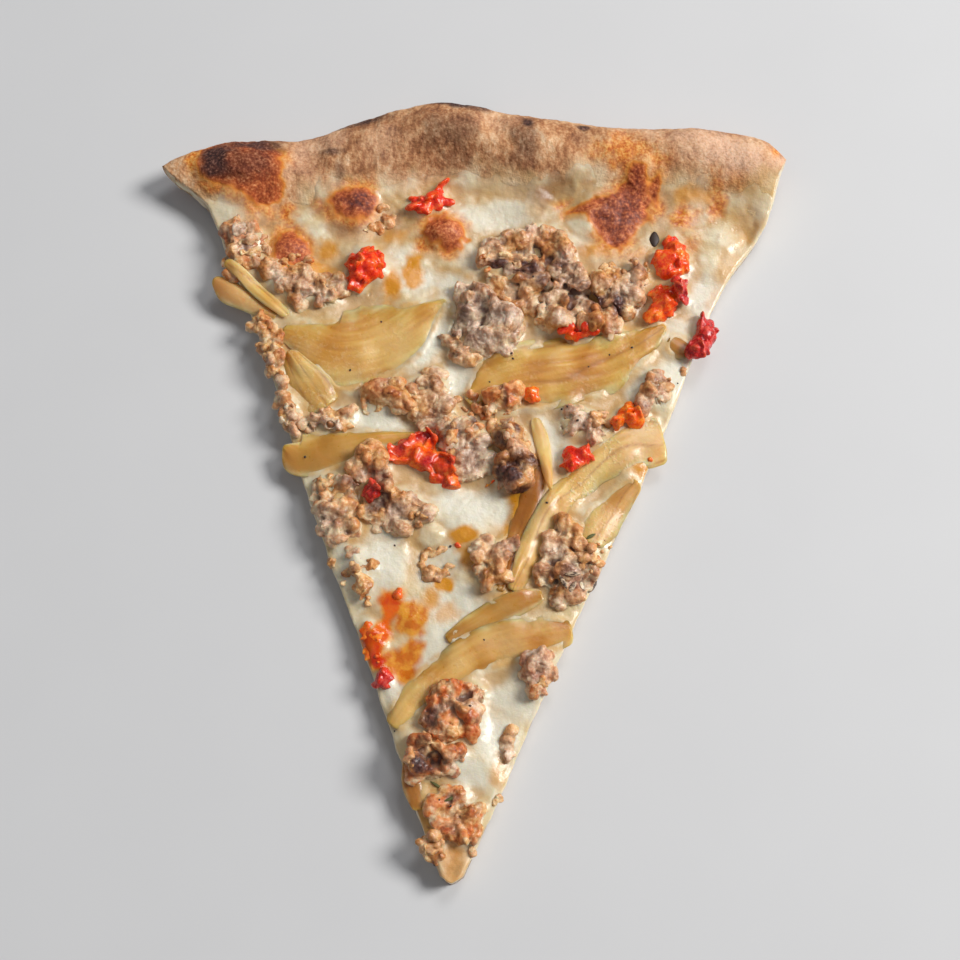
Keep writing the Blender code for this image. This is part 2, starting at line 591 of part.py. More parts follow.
class Ground:
    """Upper side of everything that has been set down so far."""

    def __init__(self):
        self.trees = []

    def add(self, points, faces):
        tree = BVHTree.FromPolygons([Vector(point) for point in points], faces)
        xs = [point[0] for point in points]
        ys = [point[1] for point in points]
        self.trees.append((tree, min(xs), max(xs), min(ys), max(ys)))

    def height(self, x, y):
        """Height of the ground, or None beside the slice."""
        best = None
        for tree, x_low, x_high, y_low, y_high in self.trees:
            if not (x_low <= x <= x_high and y_low <= y <= y_high):
                continue
            hit = tree.ray_cast(Vector((x, y, SKY)), Vector((0.0, 0.0, -1.0)))[0]
            if hit is not None and (best is None or hit.z > best):
                best = hit.z
        return best

    def touching(self, points, faces):
        """Numbers of the faces that are too near above what has been set down."""
        lowered = [Vector((x, y, z - LEAST_GAP)) for x, y, z in points]
        tree = BVHTree.FromPolygons(lowered, faces)
        found = set()
        for other in self.trees:
            found.update(pair[0] for pair in tree.overlap(other[0]))
        return found

    def clear_height(self, x, y, reach):
        """Highest ground within reach of a place."""
        heights = [self.height(x, y)]
        for ring, count in PROBE_RINGS:
            for index in range(count):
                turn = 2.0 * math.pi * index / count
                heights.append(self.height(x + ring * reach * math.cos(turn),
                                           y + ring * reach * math.sin(turn)))
        known = [height for height in heights if height is not None]
        return max(known) if known else None


def rest_levels(ground, places, reach):
    """Level on which each place of a piece rests; places beside the slice take the
    level of the nearest place on it."""
    levels = [ground.clear_height(x, y, reach) for x, y in places]
    known = [number for number, level in enumerate(levels) if level is not None]
    result = []
    for number, level in enumerate(levels):
        if level is None:
            x, y = places[number]
            nearest = min(known, key=lambda k: (places[k][0] - x) ** 2 + (places[k][1] - y) ** 2)
            level = levels[nearest]
        result.append(level + TOPPING_GAP)
    return result


def lobe_reach(lobes, cx, cy, turn):
    """Distance from a clump's middle to its outline in one direction."""
    dx = math.cos(turn)
    dy = math.sin(turn)
    reach = SHORTEST_REACH
    for x, y, radius, _ in lobes:
        along = (x - cx) * dx + (y - cy) * dy
        aside = (x - cx) * dy - (y - cy) * dx
        inside = radius * radius - aside * aside
        if inside > 0.0:
            reach = max(reach, along + math.sqrt(inside))
    return reach


def cut_short(ground, cx, cy, turn, reach, climb):
    """Shorten a reach until its end no longer climbs a neighbour."""
    level = ground.clear_height(cx, cy, REACH_PROBE)
    while reach > SHORTEST_REACH:
        end = ground.clear_height(cx + reach * math.cos(turn),
                                  cy + reach * math.sin(turn), REACH_PROBE)
        if end is None or end < level + climb:
            break
        reach -= REACH_STEP
    return reach


def lobe_height(lobes, x, y, least):
    height = least
    for lx, ly, radius, top in lobes:
        distance = ((x - lx) ** 2 + (y - ly) ** 2) / (radius * radius)
        if distance < 1.0:
            height = max(height, top * math.sqrt(1.0 - distance))
    return height


TOP_RINGS = (0.36, 0.64, 0.86)      # rings of a clump, as parts of its reach
BOTTOM_RINGS = (0.86, 0.45)
SMALL_RINGS = (0.6, 1.0, 0.7)
BELLY = 0.9                 # height of a clump's widest line over its underside


def make_clump(ground, lobes, cell, climb):
    """Lumpy mound whose underside follows the ground.

    Gives points, faces and, for each point, the number of its column: points of
    one column are raised together.
    """
    cx = sum(lobe[0] * lobe[2] ** 2 for lobe in lobes) / sum(lobe[2] ** 2 for lobe in lobes)
    cy = sum(lobe[1] * lobe[2] ** 2 for lobe in lobes) / sum(lobe[2] ** 2 for lobe in lobes)
    mean = math.sqrt(sum(lobe[2] ** 2 for lobe in lobes))
    count = max(FEWEST_SIDES, min(MOST_SIDES, round(2.0 * math.pi * mean / cell)))
    turns = [2.0 * math.pi * index / count for index in range(count)]
    reaches = []
    for turn in turns:
        reach = lobe_reach(lobes, cx, cy, turn)
        reaches.append(cut_short(ground, cx, cy, turn, reach, climb))

    rings = TOP_RINGS + (1.0,) + BOTTOM_RINGS
    if mean < SMALL_CLUMP:
        rings = SMALL_RINGS
    first_low = rings.index(1.0) + 1
    places = [(cx, cy)]
    for ring in rings:
        places += [(cx + ring * reach * math.cos(turn), cy + ring * reach * math.sin(turn))
                   for turn, reach in zip(turns, reaches)]
    places.append((cx, cy))
    levels = rest_levels(ground, places, FOOTPRINT * max(mean, SMALL_CLUMP))

    points = []
    for number, (x, y) in enumerate(places):
        ring = (number - 1) // count if number else -1
        z = levels[number]
        if ring < first_low - 1:
            z += lobe_height(lobes, x, y, LOBE_LEAST * lobes[0][3])
        elif ring == first_low - 1:
            z += BELLY
        points.append((x, y, z))

    faces = []
    last = len(points) - 1
    columns = [count] + [k % count for k in range(last - 1)] + [count]
    for k in range(count):
        after = (k + 1) % count
        faces.append((0, 1 + k, 1 + after))
        for ring in range(len(rings) - 1):
            low = 1 + ring * count
            high = low + count
            faces.append((low + k, high + k, low + after))
            faces.append((low + after, high + k, high + after))
        end = 1 + (len(rings) - 1) * count
        faces.append((last, end + after, end + k))
    return points, faces, columns


def make_strip(ground, line):
    """Thin strip laid on the ground along a middle line of (x, y, width).

    Gives points, faces and each point's column, as make_clump does.
    """
    lengths = [0.0]
    for start, end in zip(line, line[1:]):
        lengths.append(lengths[-1] + math.hypot(end[0] - start[0], end[1] - start[1]))
    keyed = [(length,) + tuple(point) for length, point in zip(lengths, line)]
    along_count = max(3, round(lengths[-1] / ONION_STEP))
    widest = max(point[2] for point in line)
    across_count = max(2, round(widest / ONION_STEP))

    places = []
    profile = []
    for i in range(along_count + 1):
        here = lengths[-1] * i / along_count
        x, y, width = curve_through(keyed, here)
        ahead = curve_through(keyed, min(lengths[-1], here + NEARBY))
        behind = curve_through(keyed, max(0.0, here - NEARBY))
        dx = ahead[0] - behind[0]
        dy = ahead[1] - behind[1]
        size = math.hypot(dx, dy)
        for k in range(across_count + 1):
            aside = k / across_count - 0.5
            places.append((x + aside * width * dy / size, y - aside * width * dx / size))
            middle = 1.0 - (2.0 * aside) ** 2
            profile.append(mix(ONION_EDGE, ONION_THICKNESS, middle))
    levels = rest_levels(ground, places, STRIP_FOOTPRINT * ONION_STEP)

    width_count = across_count + 1
    total = len(places)
    points = [(x, y, z + thick) for (x, y), z, thick in zip(places, levels, profile)]
    points += [(x, y, z) for (x, y), z in zip(places, levels)]
    faces = []
    outline = []
    for i in range(along_count):
        for k in range(across_count):
            a = i * width_count + k
            b = a + 1
            c = a + width_count
            d = c + 1
            for face in ((a, c, b), (b, c, d)):
                faces.append(face[::-1])
                faces.append(tuple(index + total for index in face))
    outline += [i * width_count for i in range(along_count)]
    outline += [along_count * width_count + k for k in range(across_count)]
    outline += [i * width_count + across_count for i in range(along_count, 0, -1)]
    outline += list(range(across_count, 0, -1))
    for a, b in zip(outline, outline[1:] + outline[:1]):
        faces.append((a, b, b + total, a + total))
    return points, faces, list(range(total)) * 2


# ------------------------------------------------------------------------ model

for old in list(bpy.data.objects):
    bpy.data.objects.remove(old, do_unlink=True)

dough_points, dough_faces = make_dough()
CENTRE = ((min(p[0] for p in dough_points) + max(p[0] for p in dough_points)) / 2.0,
          (min(p[1] for p in dough_points) + max(p[1] for p in dough_points)) / 2.0)
cheese_points, cheese_faces = make_cheese()
add_object("dough", dough_points, dough_faces, material("crust", CRUST), merge_flat=True)
add_object("cheese", cheese_points, cheese_faces, material("cheese", CHEESE), merge_flat=True)

GROUND = Ground()
GROUND.add(dough_points, dough_faces)
GROUND.add(cheese_points, cheese_faces)


def set_down(name, shape, finish):
    """Add a topping, its columns raised where it would cut into another piece."""
    points, faces, columns = shape
    for _ in range(MOST_LIFTS):
        touched = GROUND.touching(points, faces)
        if not touched:
            break
        raised = {columns[index] for number in touched for index in faces[number]}
        points = [(x, y, z + LIFT_STEP if column in raised else z)
                  for (x, y, z), column in zip(points, columns)]
    GROUND.add(points, faces)
    add_object(name, points, faces, finish)


def set_sausage(name):
    shape = make_clump(GROUND, SAUSAGE[name], SAUSAGE_CELL, SAUSAGE_CLIMB)
    set_down(name, shape, material("sausage", MEAT))


def set_onion(name):
    set_down(name, make_strip(GROUND, ONION[name]), material("onion", AMBER))


for name in ONION:
    if name not in UPPER_ONION:
        set_onion(name)
for name in SAUSAGE:
    if name not in UPPER_SAUSAGE:
        set_sausage(name)
for name in UPPER_ONION:
    set_onion(name)
for name in UPPER_SAUSAGE:
    set_sausage(name)
for name, lobes in PEPPER.items():
    set_down(name, make_clump(GROUND, lobes, PEPPER_CELL, PEPPER_CLIMB), material("pepper", RED))
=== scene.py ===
"""Looks of the white pizza slice.

Lengths are in millimetres and places are measured from the point where the two
cuts would meet (the apex), with +Y along the middle of the slice towards its
crust, as in the solids.  to_row() turns them into the frame's metres.
"""

import math

import bmesh
import bpy
import numpy as np
from mathutils import Matrix, Vector
from mathutils.bvhtree import BVHTree
from mathutils.kdtree import KDTree


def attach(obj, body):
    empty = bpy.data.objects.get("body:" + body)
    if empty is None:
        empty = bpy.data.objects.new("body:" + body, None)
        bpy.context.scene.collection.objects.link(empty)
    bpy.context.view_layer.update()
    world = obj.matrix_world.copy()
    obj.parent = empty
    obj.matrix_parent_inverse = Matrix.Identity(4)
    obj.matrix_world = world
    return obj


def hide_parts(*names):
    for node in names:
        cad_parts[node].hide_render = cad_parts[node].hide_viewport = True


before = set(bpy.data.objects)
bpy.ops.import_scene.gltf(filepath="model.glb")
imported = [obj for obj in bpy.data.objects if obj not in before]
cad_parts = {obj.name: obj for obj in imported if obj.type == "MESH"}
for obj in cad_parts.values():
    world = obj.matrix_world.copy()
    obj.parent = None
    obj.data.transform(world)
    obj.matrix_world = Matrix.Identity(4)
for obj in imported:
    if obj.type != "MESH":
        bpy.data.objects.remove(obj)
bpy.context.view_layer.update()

MM = 0.001
APEX = np.array((2.875, -121.973, 0.0))     # the apex in the row frame

# ------------------------------------------------- form of the slice, as its solids

LEFT_CUT = -22.1
RIGHT_CUT = 22.1
LEFT_CORNER = -24.4
CORNER_START = 214.0
CORNER_END = 234.0
RIGHT_BULGE = 0.9
BULGE_RADIUS = 216.0
BULGE_REACH = 15.0
TIP_RADIUS = 5.6
TIP_ROUNDING = 2.6
CUT_WAVE = 0.3
CUT_WAVE_LENGTH = 19.0
DOUGH_TOP = 3.6
CHEESE_TOP = 6.2
CHEESE_WAVE = 0.42
RIPPLE_X = 5.3
RIPPLE_Y = 7.1
RIPPLE_SLANT = 6.2
CUT_DROOP = 0.7
DROOP_START = 0.86
BUBBLE_POWER = 1.2
RIM_TOE = 30.0
RIM_WIDEST = 0.38
RIM_UNDER = 0.5
RIM_LEAN = 3.0
LEAN_START = 0.82
LEAN_TOP = 14.0
CALM_REACH = 8.0
LEFT_LIFT = 7.0
RIGHT_LIFT = 4.0
LIFT_START = 0.72
LIFT_INNER = 204.0
LIFT_OUTER = 238.0

# Angle, outer radius, crest height, crest's distance from the edge, and the
# distance from the edge at which the cheese ends.
RIM = (
    (-24.4, 233.5, 5, 7, 19), (-22, 235, 8, 8.5, 25), (-18.5, 235.5, 12, 10, 28), (-14, 231.5, 11, 9, 15),
    (-9.5, 234.5, 13, 10.5, 21), (-3.4, 238.5, 15.5, 12, 24), (2, 235.5, 15, 12, 22),
    (8, 235, 13.5, 11, 21), (12.5, 238, 13, 11, 25), (15.8, 242, 14, 11, 25), (20.2, 243.5, 11.5, 10, 24),
    (22.1, 240.5, 9, 9, 22),
)

# Where the toasted band starts: angle, distance from the apex.
TOASTED = (
    (-24.4, 222), (-21.5, 219), (-19, 212.5), (-16, 209), (-14.5, 216), (-11, 212), (-7.5, 213.5),
    (-4.5, 213), (-2, 214), (1, 214.5), (4, 212.5), (6, 215), (8, 218.5), (10, 217), (12.5, 215),
    (15.5, 222.5), (18, 224), (20, 226), (22.1, 233),
)

# Bubbles and hollows: x, y, half length, half width, turn in degrees, height.
BUBBLES = (
    (-73, 210.5, 15.5, 10.5, -4, 3.2), (-38, 201, 9, 7.5, 10, 2.6), (-11, 193.5, 7, 5.6, 0, 3.2),
    (-57, 187.5, 6.2, 5.2, 0, 2.6), (37, 202, 12.5, 9.5, 15, 3.6), (46.5, 213.5, 8, 4.6, 60, 1.8),
    (22, 209, 6.5, 4.5, 20, -1.6), (63, 204, 8, 6, 0, 1), (-12, 226, 15, 8, 0, 1.4),
    (14, 226, 9, 7, 0, 1.2), (58, 227, 16, 8, -12, 1.3), (2, 229, 5, 7, 0, -1.2),
    (-53, 218, 7, 8, 0, -1.4), (31, 222, 6, 8, 0, -1.1), (-10.5, 99, 5, 4.2, 20, 1.4),
    (0, 105, 13, 9, 20, 1.1), (-22, 92, 10, 9, 0, 0.9), (4, 40, 7, 12, 0, 0.8), (-14, 146, 8, 12, -30, 1),
    (70, 192, 9, 12, -20, 0.8),
)

# Middle line of each strip of onion, in the order of their nodes: x, y, full width.
ONION = (
    ((-78.5, 176, 3), (-74, 172.5, 7), (-67, 168.5, 6), (-59, 164.5, 3.5)),
    ((-56.5, 160, 5), (-50, 158, 12), (-41, 154.5, 24), (-31, 156, 26),
     (-22, 161, 20), (-15, 167, 10), (-9.5, 171.5, 2.5)),
    ((-54.5, 153, 4), (-50.5, 147.5, 9), (-46.5, 142, 12), (-42, 136.8, 9)),
    ((-53.5, 124, 2), (-49, 121.5, 12), (-42, 123, 13), (-35, 124.8, 10.5),
     (-28, 127.2, 5.5), (-21.5, 128.4, 4.5), (-16, 129, 2.5)),
    ((-1.5, 139.5, 5), (5, 145, 15), (15, 148.5, 20), (26, 150.5, 21),
     (36, 153, 18), (45, 158, 13), (51, 162.5, 8), (55, 166, 2.5)),
    ((56, 161.5, 6), (59.5, 159.6, 8), (62.5, 157.5, 5)),
    ((19.5, 121, 9), (18.5, 114, 10), (16, 105, 9), (13, 94.5, 8), (9.5, 84, 5)),
    ((47.5, 117.5, 4), (42.5, 112, 8), (37.5, 105, 11), (34.5, 98.5, 7)),
    ((55, 131, 15), (47, 129, 14), (40, 125, 12.5), (33, 119.5, 11),
     (27, 112.5, 9.5), (21.5, 103.5, 8.5), (17.5, 94.5, 7.5), (13.5, 84, 4)),
    ((18, 135.5, 3), (20, 129.5, 4.2), (21.5, 121.5, 3.6), (23, 113, 1.2)),
    ((21.5, 83.5, 4), (14, 80.5, 7), (5, 75.5, 7), (-4, 69.5, 3.5)),
    ((30, 73.5, 7), (20, 71.5, 11.5), (10, 69, 12), (1, 64.5, 11),
     (-8, 58, 10), (-14, 51, 8.5), (-17.5, 45.5, 5)),
    ((-12.5, 39, 3.5), (-11.5, 31, 6), (-9, 24, 4)),
    ((-75, 180.5, 3), (-69, 176, 4), (-62, 169.8, 4), (-55.5, 164.6, 3)),
)

# ---------------------------------------------------------------- painted patches
# Each row: x, y, half length, half width, turn in degrees, strength.

CHAR = (
    (-80.5, 213.5, 7.6, 6.4, -10, 0.95), (-68, 219.5, 10, 3.8, -6, 0.85), (-73, 212, 11, 6, -10, 0.55),
    (-45.5, 218, 4.2, 1.9, 0, 0.75), (-43.5, 212, 2.2, 5, 0, 0.5), (-10, 224, 11, 7.5, 0, 0.5),
    (12.5, 222, 5, 9, 0, 0.55), (12.5, 228, 3, 3.4, 0, 0.95), (30, 229.5, 3, 1.8, 0, 0.95),
    (-36.5, 229, 8, 2.6, 8, 0.9), (-7, 236.5, 10, 4, -3, 0.95), (29, 224.5, 3, 5, 0, 0.3),
)
# Outlines of the browned blisters, each after how dark its middle is.
BLISTERS = (
    (0.7, ((26, 202.5), (32.5, 205.5), (39, 208.5), (43, 213), (45, 217), (48.5, 216), (50, 211),
           (51, 206.5), (50, 201.5), (46.5, 197), (44, 192.5), (40.5, 190.5), (37, 192.5), (33.5, 197),
           (30, 201))),
    (0.3, ((49.5, 213), (53, 214.5), (54.5, 211.5), (52.5, 205), (50.5, 208))),
    (0.12, ((-17.5, 194), (-15.5, 198.5), (-11, 199.5), (-6.5, 197.5), (-4, 192.5), (-5.5, 188.5),
            (-10, 188), (-14.5, 190))),
    (0.08, ((-62, 187.5), (-60, 192), (-55.5, 193), (-52, 189.5), (-50.5, 185.5), (-52, 181.5),
            (-56, 180), (-60, 182))),
    (1, ((-47, 202.5), (-44, 206), (-40, 207), (-33.5, 208), (-31, 204.5), (-32, 200.5), (-34.5, 198),
         (-39.5, 197), (-44, 198.5))),
    (0.3, ((-86.5, 211), (-85.5, 218), (-81, 222), (-73.5, 223.5), (-65.5, 222.5), (-61.5, 216.5),
           (-60, 209.5), (-59.5, 203.5), (-63.5, 200), (-68, 199.5), (-73, 203), (-79.5, 206), (-85, 208))),
)
# Browned cheese away from the band.
TOAST = (
    (0, 3, 5, 3, 0, 0.7), (0, 10, 5, 7, 0, 0.6), (-38, 196, 8, 6, 0, 0.6), (-29, 197.5, 5, 7, 0, 0.55),
    (-45, 210, 8, 9, 0, 0.6), (-66, 196, 10, 4, -10, 0.45), (17, 206, 6, 5, 10, 0.4),
    (53, 206, 6, 10, 10, 0.5), (64, 208, 8, 7, 0, 0.45), (42, 187, 8, 4, 0, 0.3),
)
# Pale floury parts of the crust.
FLOUR = (
    (75.5, 221, 14, 9, -8, 1), (64, 226, 12, 7, 0, 0.7), (88, 220, 5, 6, 0, 0.8),
    (-55.5, 216.5, 8, 9, 0, 0.5), (-47, 222, 9, 5, 10, 0.4), (-31, 221, 10, 7, 10, 0.3),
    (49, 229, 10, 6, 0, 0.5), (3, 229, 7, 5, 0, 0.3), (-25, 209, 8, 4, 0, 0.5),
)
# Golden orange scorch round the blisters and along the crust.
ORANGE = (
    (-87.5, 213, 2.4, 5.2, 0, 0.9), (-83, 205.5, 4, 2.2, -20, 0.7), (-59, 198.5, 3.6, 4.2, 0, 1),
    (-16, 190.5, 3.4, 2.6, 0, 0.9), (-58, 181.5, 5.4, 2.6, 0, 0.7), (24, 204.5, 3.6, 2.6, 20, 0.8),
    (43, 221.5, 9.5, 7, 0, 0.75), (33, 220, 6, 5, 0, 0.5), (52.5, 218, 4, 5, 0, 0.6),
    (42, 189, 9, 3.2, 0, 0.5), (-49.5, 202, 3.4, 3, 0, 0.5), (-8.5, 187.5, 5, 2.4, 0, 0.6),
    (61.5, 201.5, 5.6, 4.8, -20, 0.95), (63.5, 194, 3, 4, -20, 0.5), (70.5, 207.5, 3.4, 6.4, 0, 0.85),
    (88, 223, 2.4, 2.6, 0, 0.9), (72, 214, 7, 4, 0, 0.25), (52, 135.5, 2.2, 2, 0, 0.5),
)
# Pools of golden oil.
OIL = (
    (-45.5, 186.5, 3.6, 4.6, 0, 0.7), (-26, 176, 3.2, 5.2, 0, 0.8), (-19.5, 182.5, 3.2, 6.4, 0, 1),
    (-24.5, 193.5, 4.6, 3.2, 0, 0.6), (14.5, 107, 3.8, 10, -12, 1), (18.5, 117, 4, 6, 0, 0.9),
    (-9, 80.5, 3, 4.4, 10, 0.7), (29, 202.5, 4.4, 3.4, 10, 0.5), (34.5, 190, 6, 3, 0, 0.6),
    (63.5, 209, 6, 4.4, 0, 0.6), (6, 76.5, 8, 3, 25, 0.6), (-49, 180.5, 9.5, 3, 0, 0.6),
    (-5.5, 85.5, 3.2, 2.4, 0, 1), (-0.5, 99.5, 3.6, 2.8, 0, 0.9), (1, 93.5, 3.6, 5, 20, 0.8),
    (11, 81.5, 3, 3.6, 0, 0.7), (11.5, 36, 2.6, 5.4, 0, 0.5), (-7, 22, 4, 8, 0, 0.6),
    (0, 6, 6, 9, 0, 0.45), (-12.5, 75.5, 3, 2.6, 0, 0.9), (74, 186, 4, 16, -22, 0.35),
    (79, 204, 8, 11, -20, 0.2), (52.5, 131, 3.2, 2.6, 0, 0.8), (48.5, 121.5, 3.4, 4, 0, 0.8),
    (-4.5, 77.5, 6, 3.6, 20, 0.5),
)
# Painted brown shade in the hollows.
HOLLOW_SHADE = (
    (19, 208.5, 5.6, 3.8, 15, 1), (14, 210.5, 4, 2.4, 0, 0.4), (-48.5, 201, 3.6, 3.4, 0, 0.8),
    (-41, 195.5, 7, 3.8, 0, 0.8), (-25.5, 196.5, 4, 3.4, 0, 0.5), (-64, 180.5, 4, 3, 0, 0.4),
    (-30, 176.5, 2, 4, 0, 0.6), (68, 212, 5, 3.6, 0, 0.35), (30, 190, 4, 2.6, 0, 0.4),
    (-2, 152.5, 4, 4, 0, 0.35), (15, 137, 3.6, 3.4, 0, 0.4),
)
# Outlines of the oil stain at the left cut, each after how red it is.
STAINS = (
    (1, ((-22, 82.5), (-17.5, 83.5), (-16.5, 80), (-18, 77), (-20, 73.5), (-19.5, 69), (-21, 66),
         (-19, 63.5), (-21, 60.5), (-24, 60), (-26.5, 65), (-28, 69.5), (-28, 73), (-25, 72.5), (-22, 76),
         (-23.5, 79))),
    (0, ((-21.5, 66), (-17.5, 66.5), (-13.5, 70), (-10.5, 68), (-11.5, 62.5), (-14.5, 57.5), (-17, 58.5),
         (-20, 59.5))),
    (0, ((-18.5, 80), (-14, 80.5), (-10.5, 77.5), (-10.5, 71.5), (-14, 69.5), (-18, 73))),
)
# Clean pools of cheese.
WHITE = (
    (-13.5, 156.5, 11.5, 5.4, 56, 1), (-5, 147, 5.4, 7.5, 0, 1), (-27, 132.5, 10, 4, 3, 1),
    (1, 107.5, 12, 7, 0, 1), (-22.5, 92, 7.4, 11, 8, 1), (-8, 90, 8, 8, 10, 0.8),
    (-3.5, 76, 11, 9, 20, 0.95), (-13.5, 78.5, 4, 4, 20, 0.9), (-9, 68, 9, 7, 50, 0.9),
    (-16, 56.5, 4.4, 6, 30, 0.9), (15.5, 54, 9, 7, 35, 0.9), (9.5, 44, 6, 11, 0, 1),
    (4.5, 33.5, 6, 6, 8, 1), (-49, 154, 3, 2.6, 0, 0.9), (-20, 178, 11, 5.4, 5, 0.95),
    (-8, 176.5, 6, 6, 0, 0.9), (-24, 186, 5, 4.5, 0, 0.8), (22.5, 129.5, 5.4, 7, 0, 1),
    (60, 152, 11, 6.6, 52, 1), (67, 176, 6.6, 11, -20, 1), (58.5, 166, 4, 4, 0, 0.8),
    (50, 146, 8, 5, 30, 0.9), (5, 200.5, 16, 5.6, 0, 0.85), (-3, 187, 5, 7, 0, 0.7),
    (28.5, 192.5, 6, 3, 0, 0.6), (60, 184, 7, 5, 0, 0.6), (-74, 198, 6, 4, 0, 0.5),
    (-40.5, 118, 3, 1.8, 0, 0.8), (-33.5, 90, 3, 9, 20, 0.8),
)
# Painted shade: dark patches in the hollows between the lumps of sausage.
MEAT_HOLLOW_SHADE = (
    (6, 182.5, 4.2, 3.2, 0, 1), (15, 181.5, 5, 3.4, 10, 1), (22.5, 183, 3, 2.4, 0, 0.9),
    (19.5, 177, 3.4, 2.6, 0, 0.8), (34.5, 172.5, 3.6, 2.6, 0, 1), (41, 171, 2.4, 4.6, 0, 1),
    (10.5, 117.5, 4.4, 3.6, 0, 1), (12.5, 115.5, 3, 3, 0, 1), (-7.5, 48, 3.6, 3.2, 0, 0.9),
    (-9.5, 35, 3.4, 2.6, 0, 1), (-23.5, 114, 3, 2.2, 0, 0.9), (-1, 144.5, 2.6, 2.2, 0, 0.8),
    (2, 133.5, 3.4, 3, 0, 0.9), (-33.5, 113.5, 2.2, 2.2, 0, 0.7), (-26, 106.5, 3.2, 3, 0, 0.8),
    (41.5, 185.5, 2.6, 2.2, 0, 0.7), (-3.5, 166, 2.4, 5, 20, 0.7), (-69, 186, 2.6, 3, 0, 0.7),
    (14, 121.5, 2.6, 2.4, 0, 0.7), (28, 90, 2.4, 2.4, 0, 0.6), (-44, 176, 3, 2, 0, 0.5),
    (-36, 104, 2.6, 3, 0, 0.5), (-1, 27, 2.4, 2, 0, 0.7), (7.5, 127.5, 3, 2.6, 0, 0.8),
)
# Each kind of patch: rows, how ragged it is, size and seed of the rags, softness of the edge.
PAINT = {
    "toast": (TOAST, 0.3, 3.0, 24, 0.9),
    "flour": (FLOUR, 0.35, 5.0, 38, 0.9),
    "char": (CHAR, 0.3, 4.0, 31, 0.6),
    "orange": (ORANGE, 0.35, 3.0, 33, 0.8),
    "oil": (OIL, 0.4, 4.0, 34, 0.7),
    "hollow_shade": (HOLLOW_SHADE, 0.3, 3.0, 35, 0.9),
    "white": (WHITE, 0.3, 5.0, 36, 0.6),
    # the patches of painted shade in the meat's hollows
    "char_and_shade": (MEAT_HOLLOW_SHADE, 0.4, 2.0, 39, 0.7),
}


# ------------------------------------------------------------------ small maths

OCTAVES = 3                 # of the fractal noise


def limit(value):
    return np.clip(value, 0.0, 1.0)


def blend(low, high, value):
    """0 below low, 1 above high, and smooth in between."""
    part = limit((value - low) / (high - low))
    return part * part * (3.0 - 2.0 * part)


def mix(a, b, part):
    return a + (b - a) * part


def curve_through(rows, value):
    """Smooth curve through rows (key, a, b, ...), read at each value; one array a column."""
    table = np.array(rows, dtype=float)
    keys = table[:, 0]
    last = len(keys) - 1
    value = np.clip(value, keys[0], keys[-1])
    index = np.clip(np.searchsorted(keys, value) - 1, 0, last - 1)
    before = table[np.maximum(index - 1, 0)]
    start = table[index]
    end = table[index + 1]
    after = table[np.minimum(index + 2, last)]
    span = (end[..., :1] - start[..., :1])
    part = (value[..., None] - start[..., :1]) / span
    slope_in = (end - before) / (end[..., :1] - before[..., :1]) * span
    slope_out = (after - start) / (after[..., :1] - start[..., :1]) * span
    result = (start * (2 * part ** 3 - 3 * part ** 2 + 1)
              + slope_in * (part ** 3 - 2 * part ** 2 + part)
              + end * (3 * part ** 2 - 2 * part ** 3)
              + slope_out * (part ** 3 - part ** 2))
    return [result[..., column] for column in range(1, table.shape[1])]


def lattice(x, y, z, seed):
    """Fixed random number -1..1 for each corner of a lattice."""
    mixed = (x * 374761393 + y * 668265263 + z * 1440662683 + seed * 974634777) & 0xFFFFFFFF
    mixed = ((mixed ^ (mixed >> 13)) * 1274126177) & 0xFFFFFFFF
    return ((mixed ^ (mixed >> 16)) & 0xFFFF) / 32767.5 - 1.0


def noise(points, size, seed):
    """Smooth random field -1..1 with bumps about a size apart; size may be per axis."""
    scaled = np.asarray(points) / size
    cell = np.floor(scaled).astype(np.int64)
    part = scaled - cell
    part = part * part * (3.0 - 2.0 * part)
    total = np.zeros(len(scaled))
    for corner in range(8):
        step = np.array((corner & 1, corner >> 1 & 1, corner >> 2))
        weight = np.where(step, part, 1.0 - part).prod(axis=1)
        at = cell + step
        total += weight * lattice(at[:, 0], at[:, 1], at[:, 2], seed)
    return total


def fractal(points, size, seed):
    """Sum of noises, each half as large and half as high as the one before."""
    total = np.zeros(len(points))
    for octave in range(OCTAVES):
        total += noise(points, np.asarray(size) / 2.0 ** octave, seed + octave) / 2.0 ** octave
    return total


def layered(points, layers, start=0.0):
    """Sum of noises; each layer is a height, a size and a seed."""
    return sum((height * noise(points, size, seed) for height, size, seed in layers), start)


def flat(x, y):
    return np.stack([x, y, np.zeros_like(x)], axis=1)


def ellipse(x, y, cx, cy, length, width, turn):
    """Places along and across a turned ellipse, as parts of its half sizes."""
    c = math.cos(math.radians(turn))
    s = math.sin(math.radians(turn))
    return (c * (x - cx) + s * (y - cy)) / length, (c * (y - cy) - s * (x - cx)) / width


def painted(kind, x, y):
    """Strongest of the ragged patches of a kind at each place, 0..1."""
    rows, ragged, size, seed, soft = PAINT[kind]
    wobble = ragged * fractal(flat(x, y), size, seed)
    result = np.zeros_like(x)
    for *oval, strength in rows:
        distance = np.hypot(*ellipse(x, y, *oval)) + wobble
        result = np.maximum(result, strength * (1.0 - blend(1.0 - soft, 1.0 + 0.4 * soft, distance)))
    return result


NEAR_OUTLINE = 8.0          # farther than that from an outline its distance isn't worked out


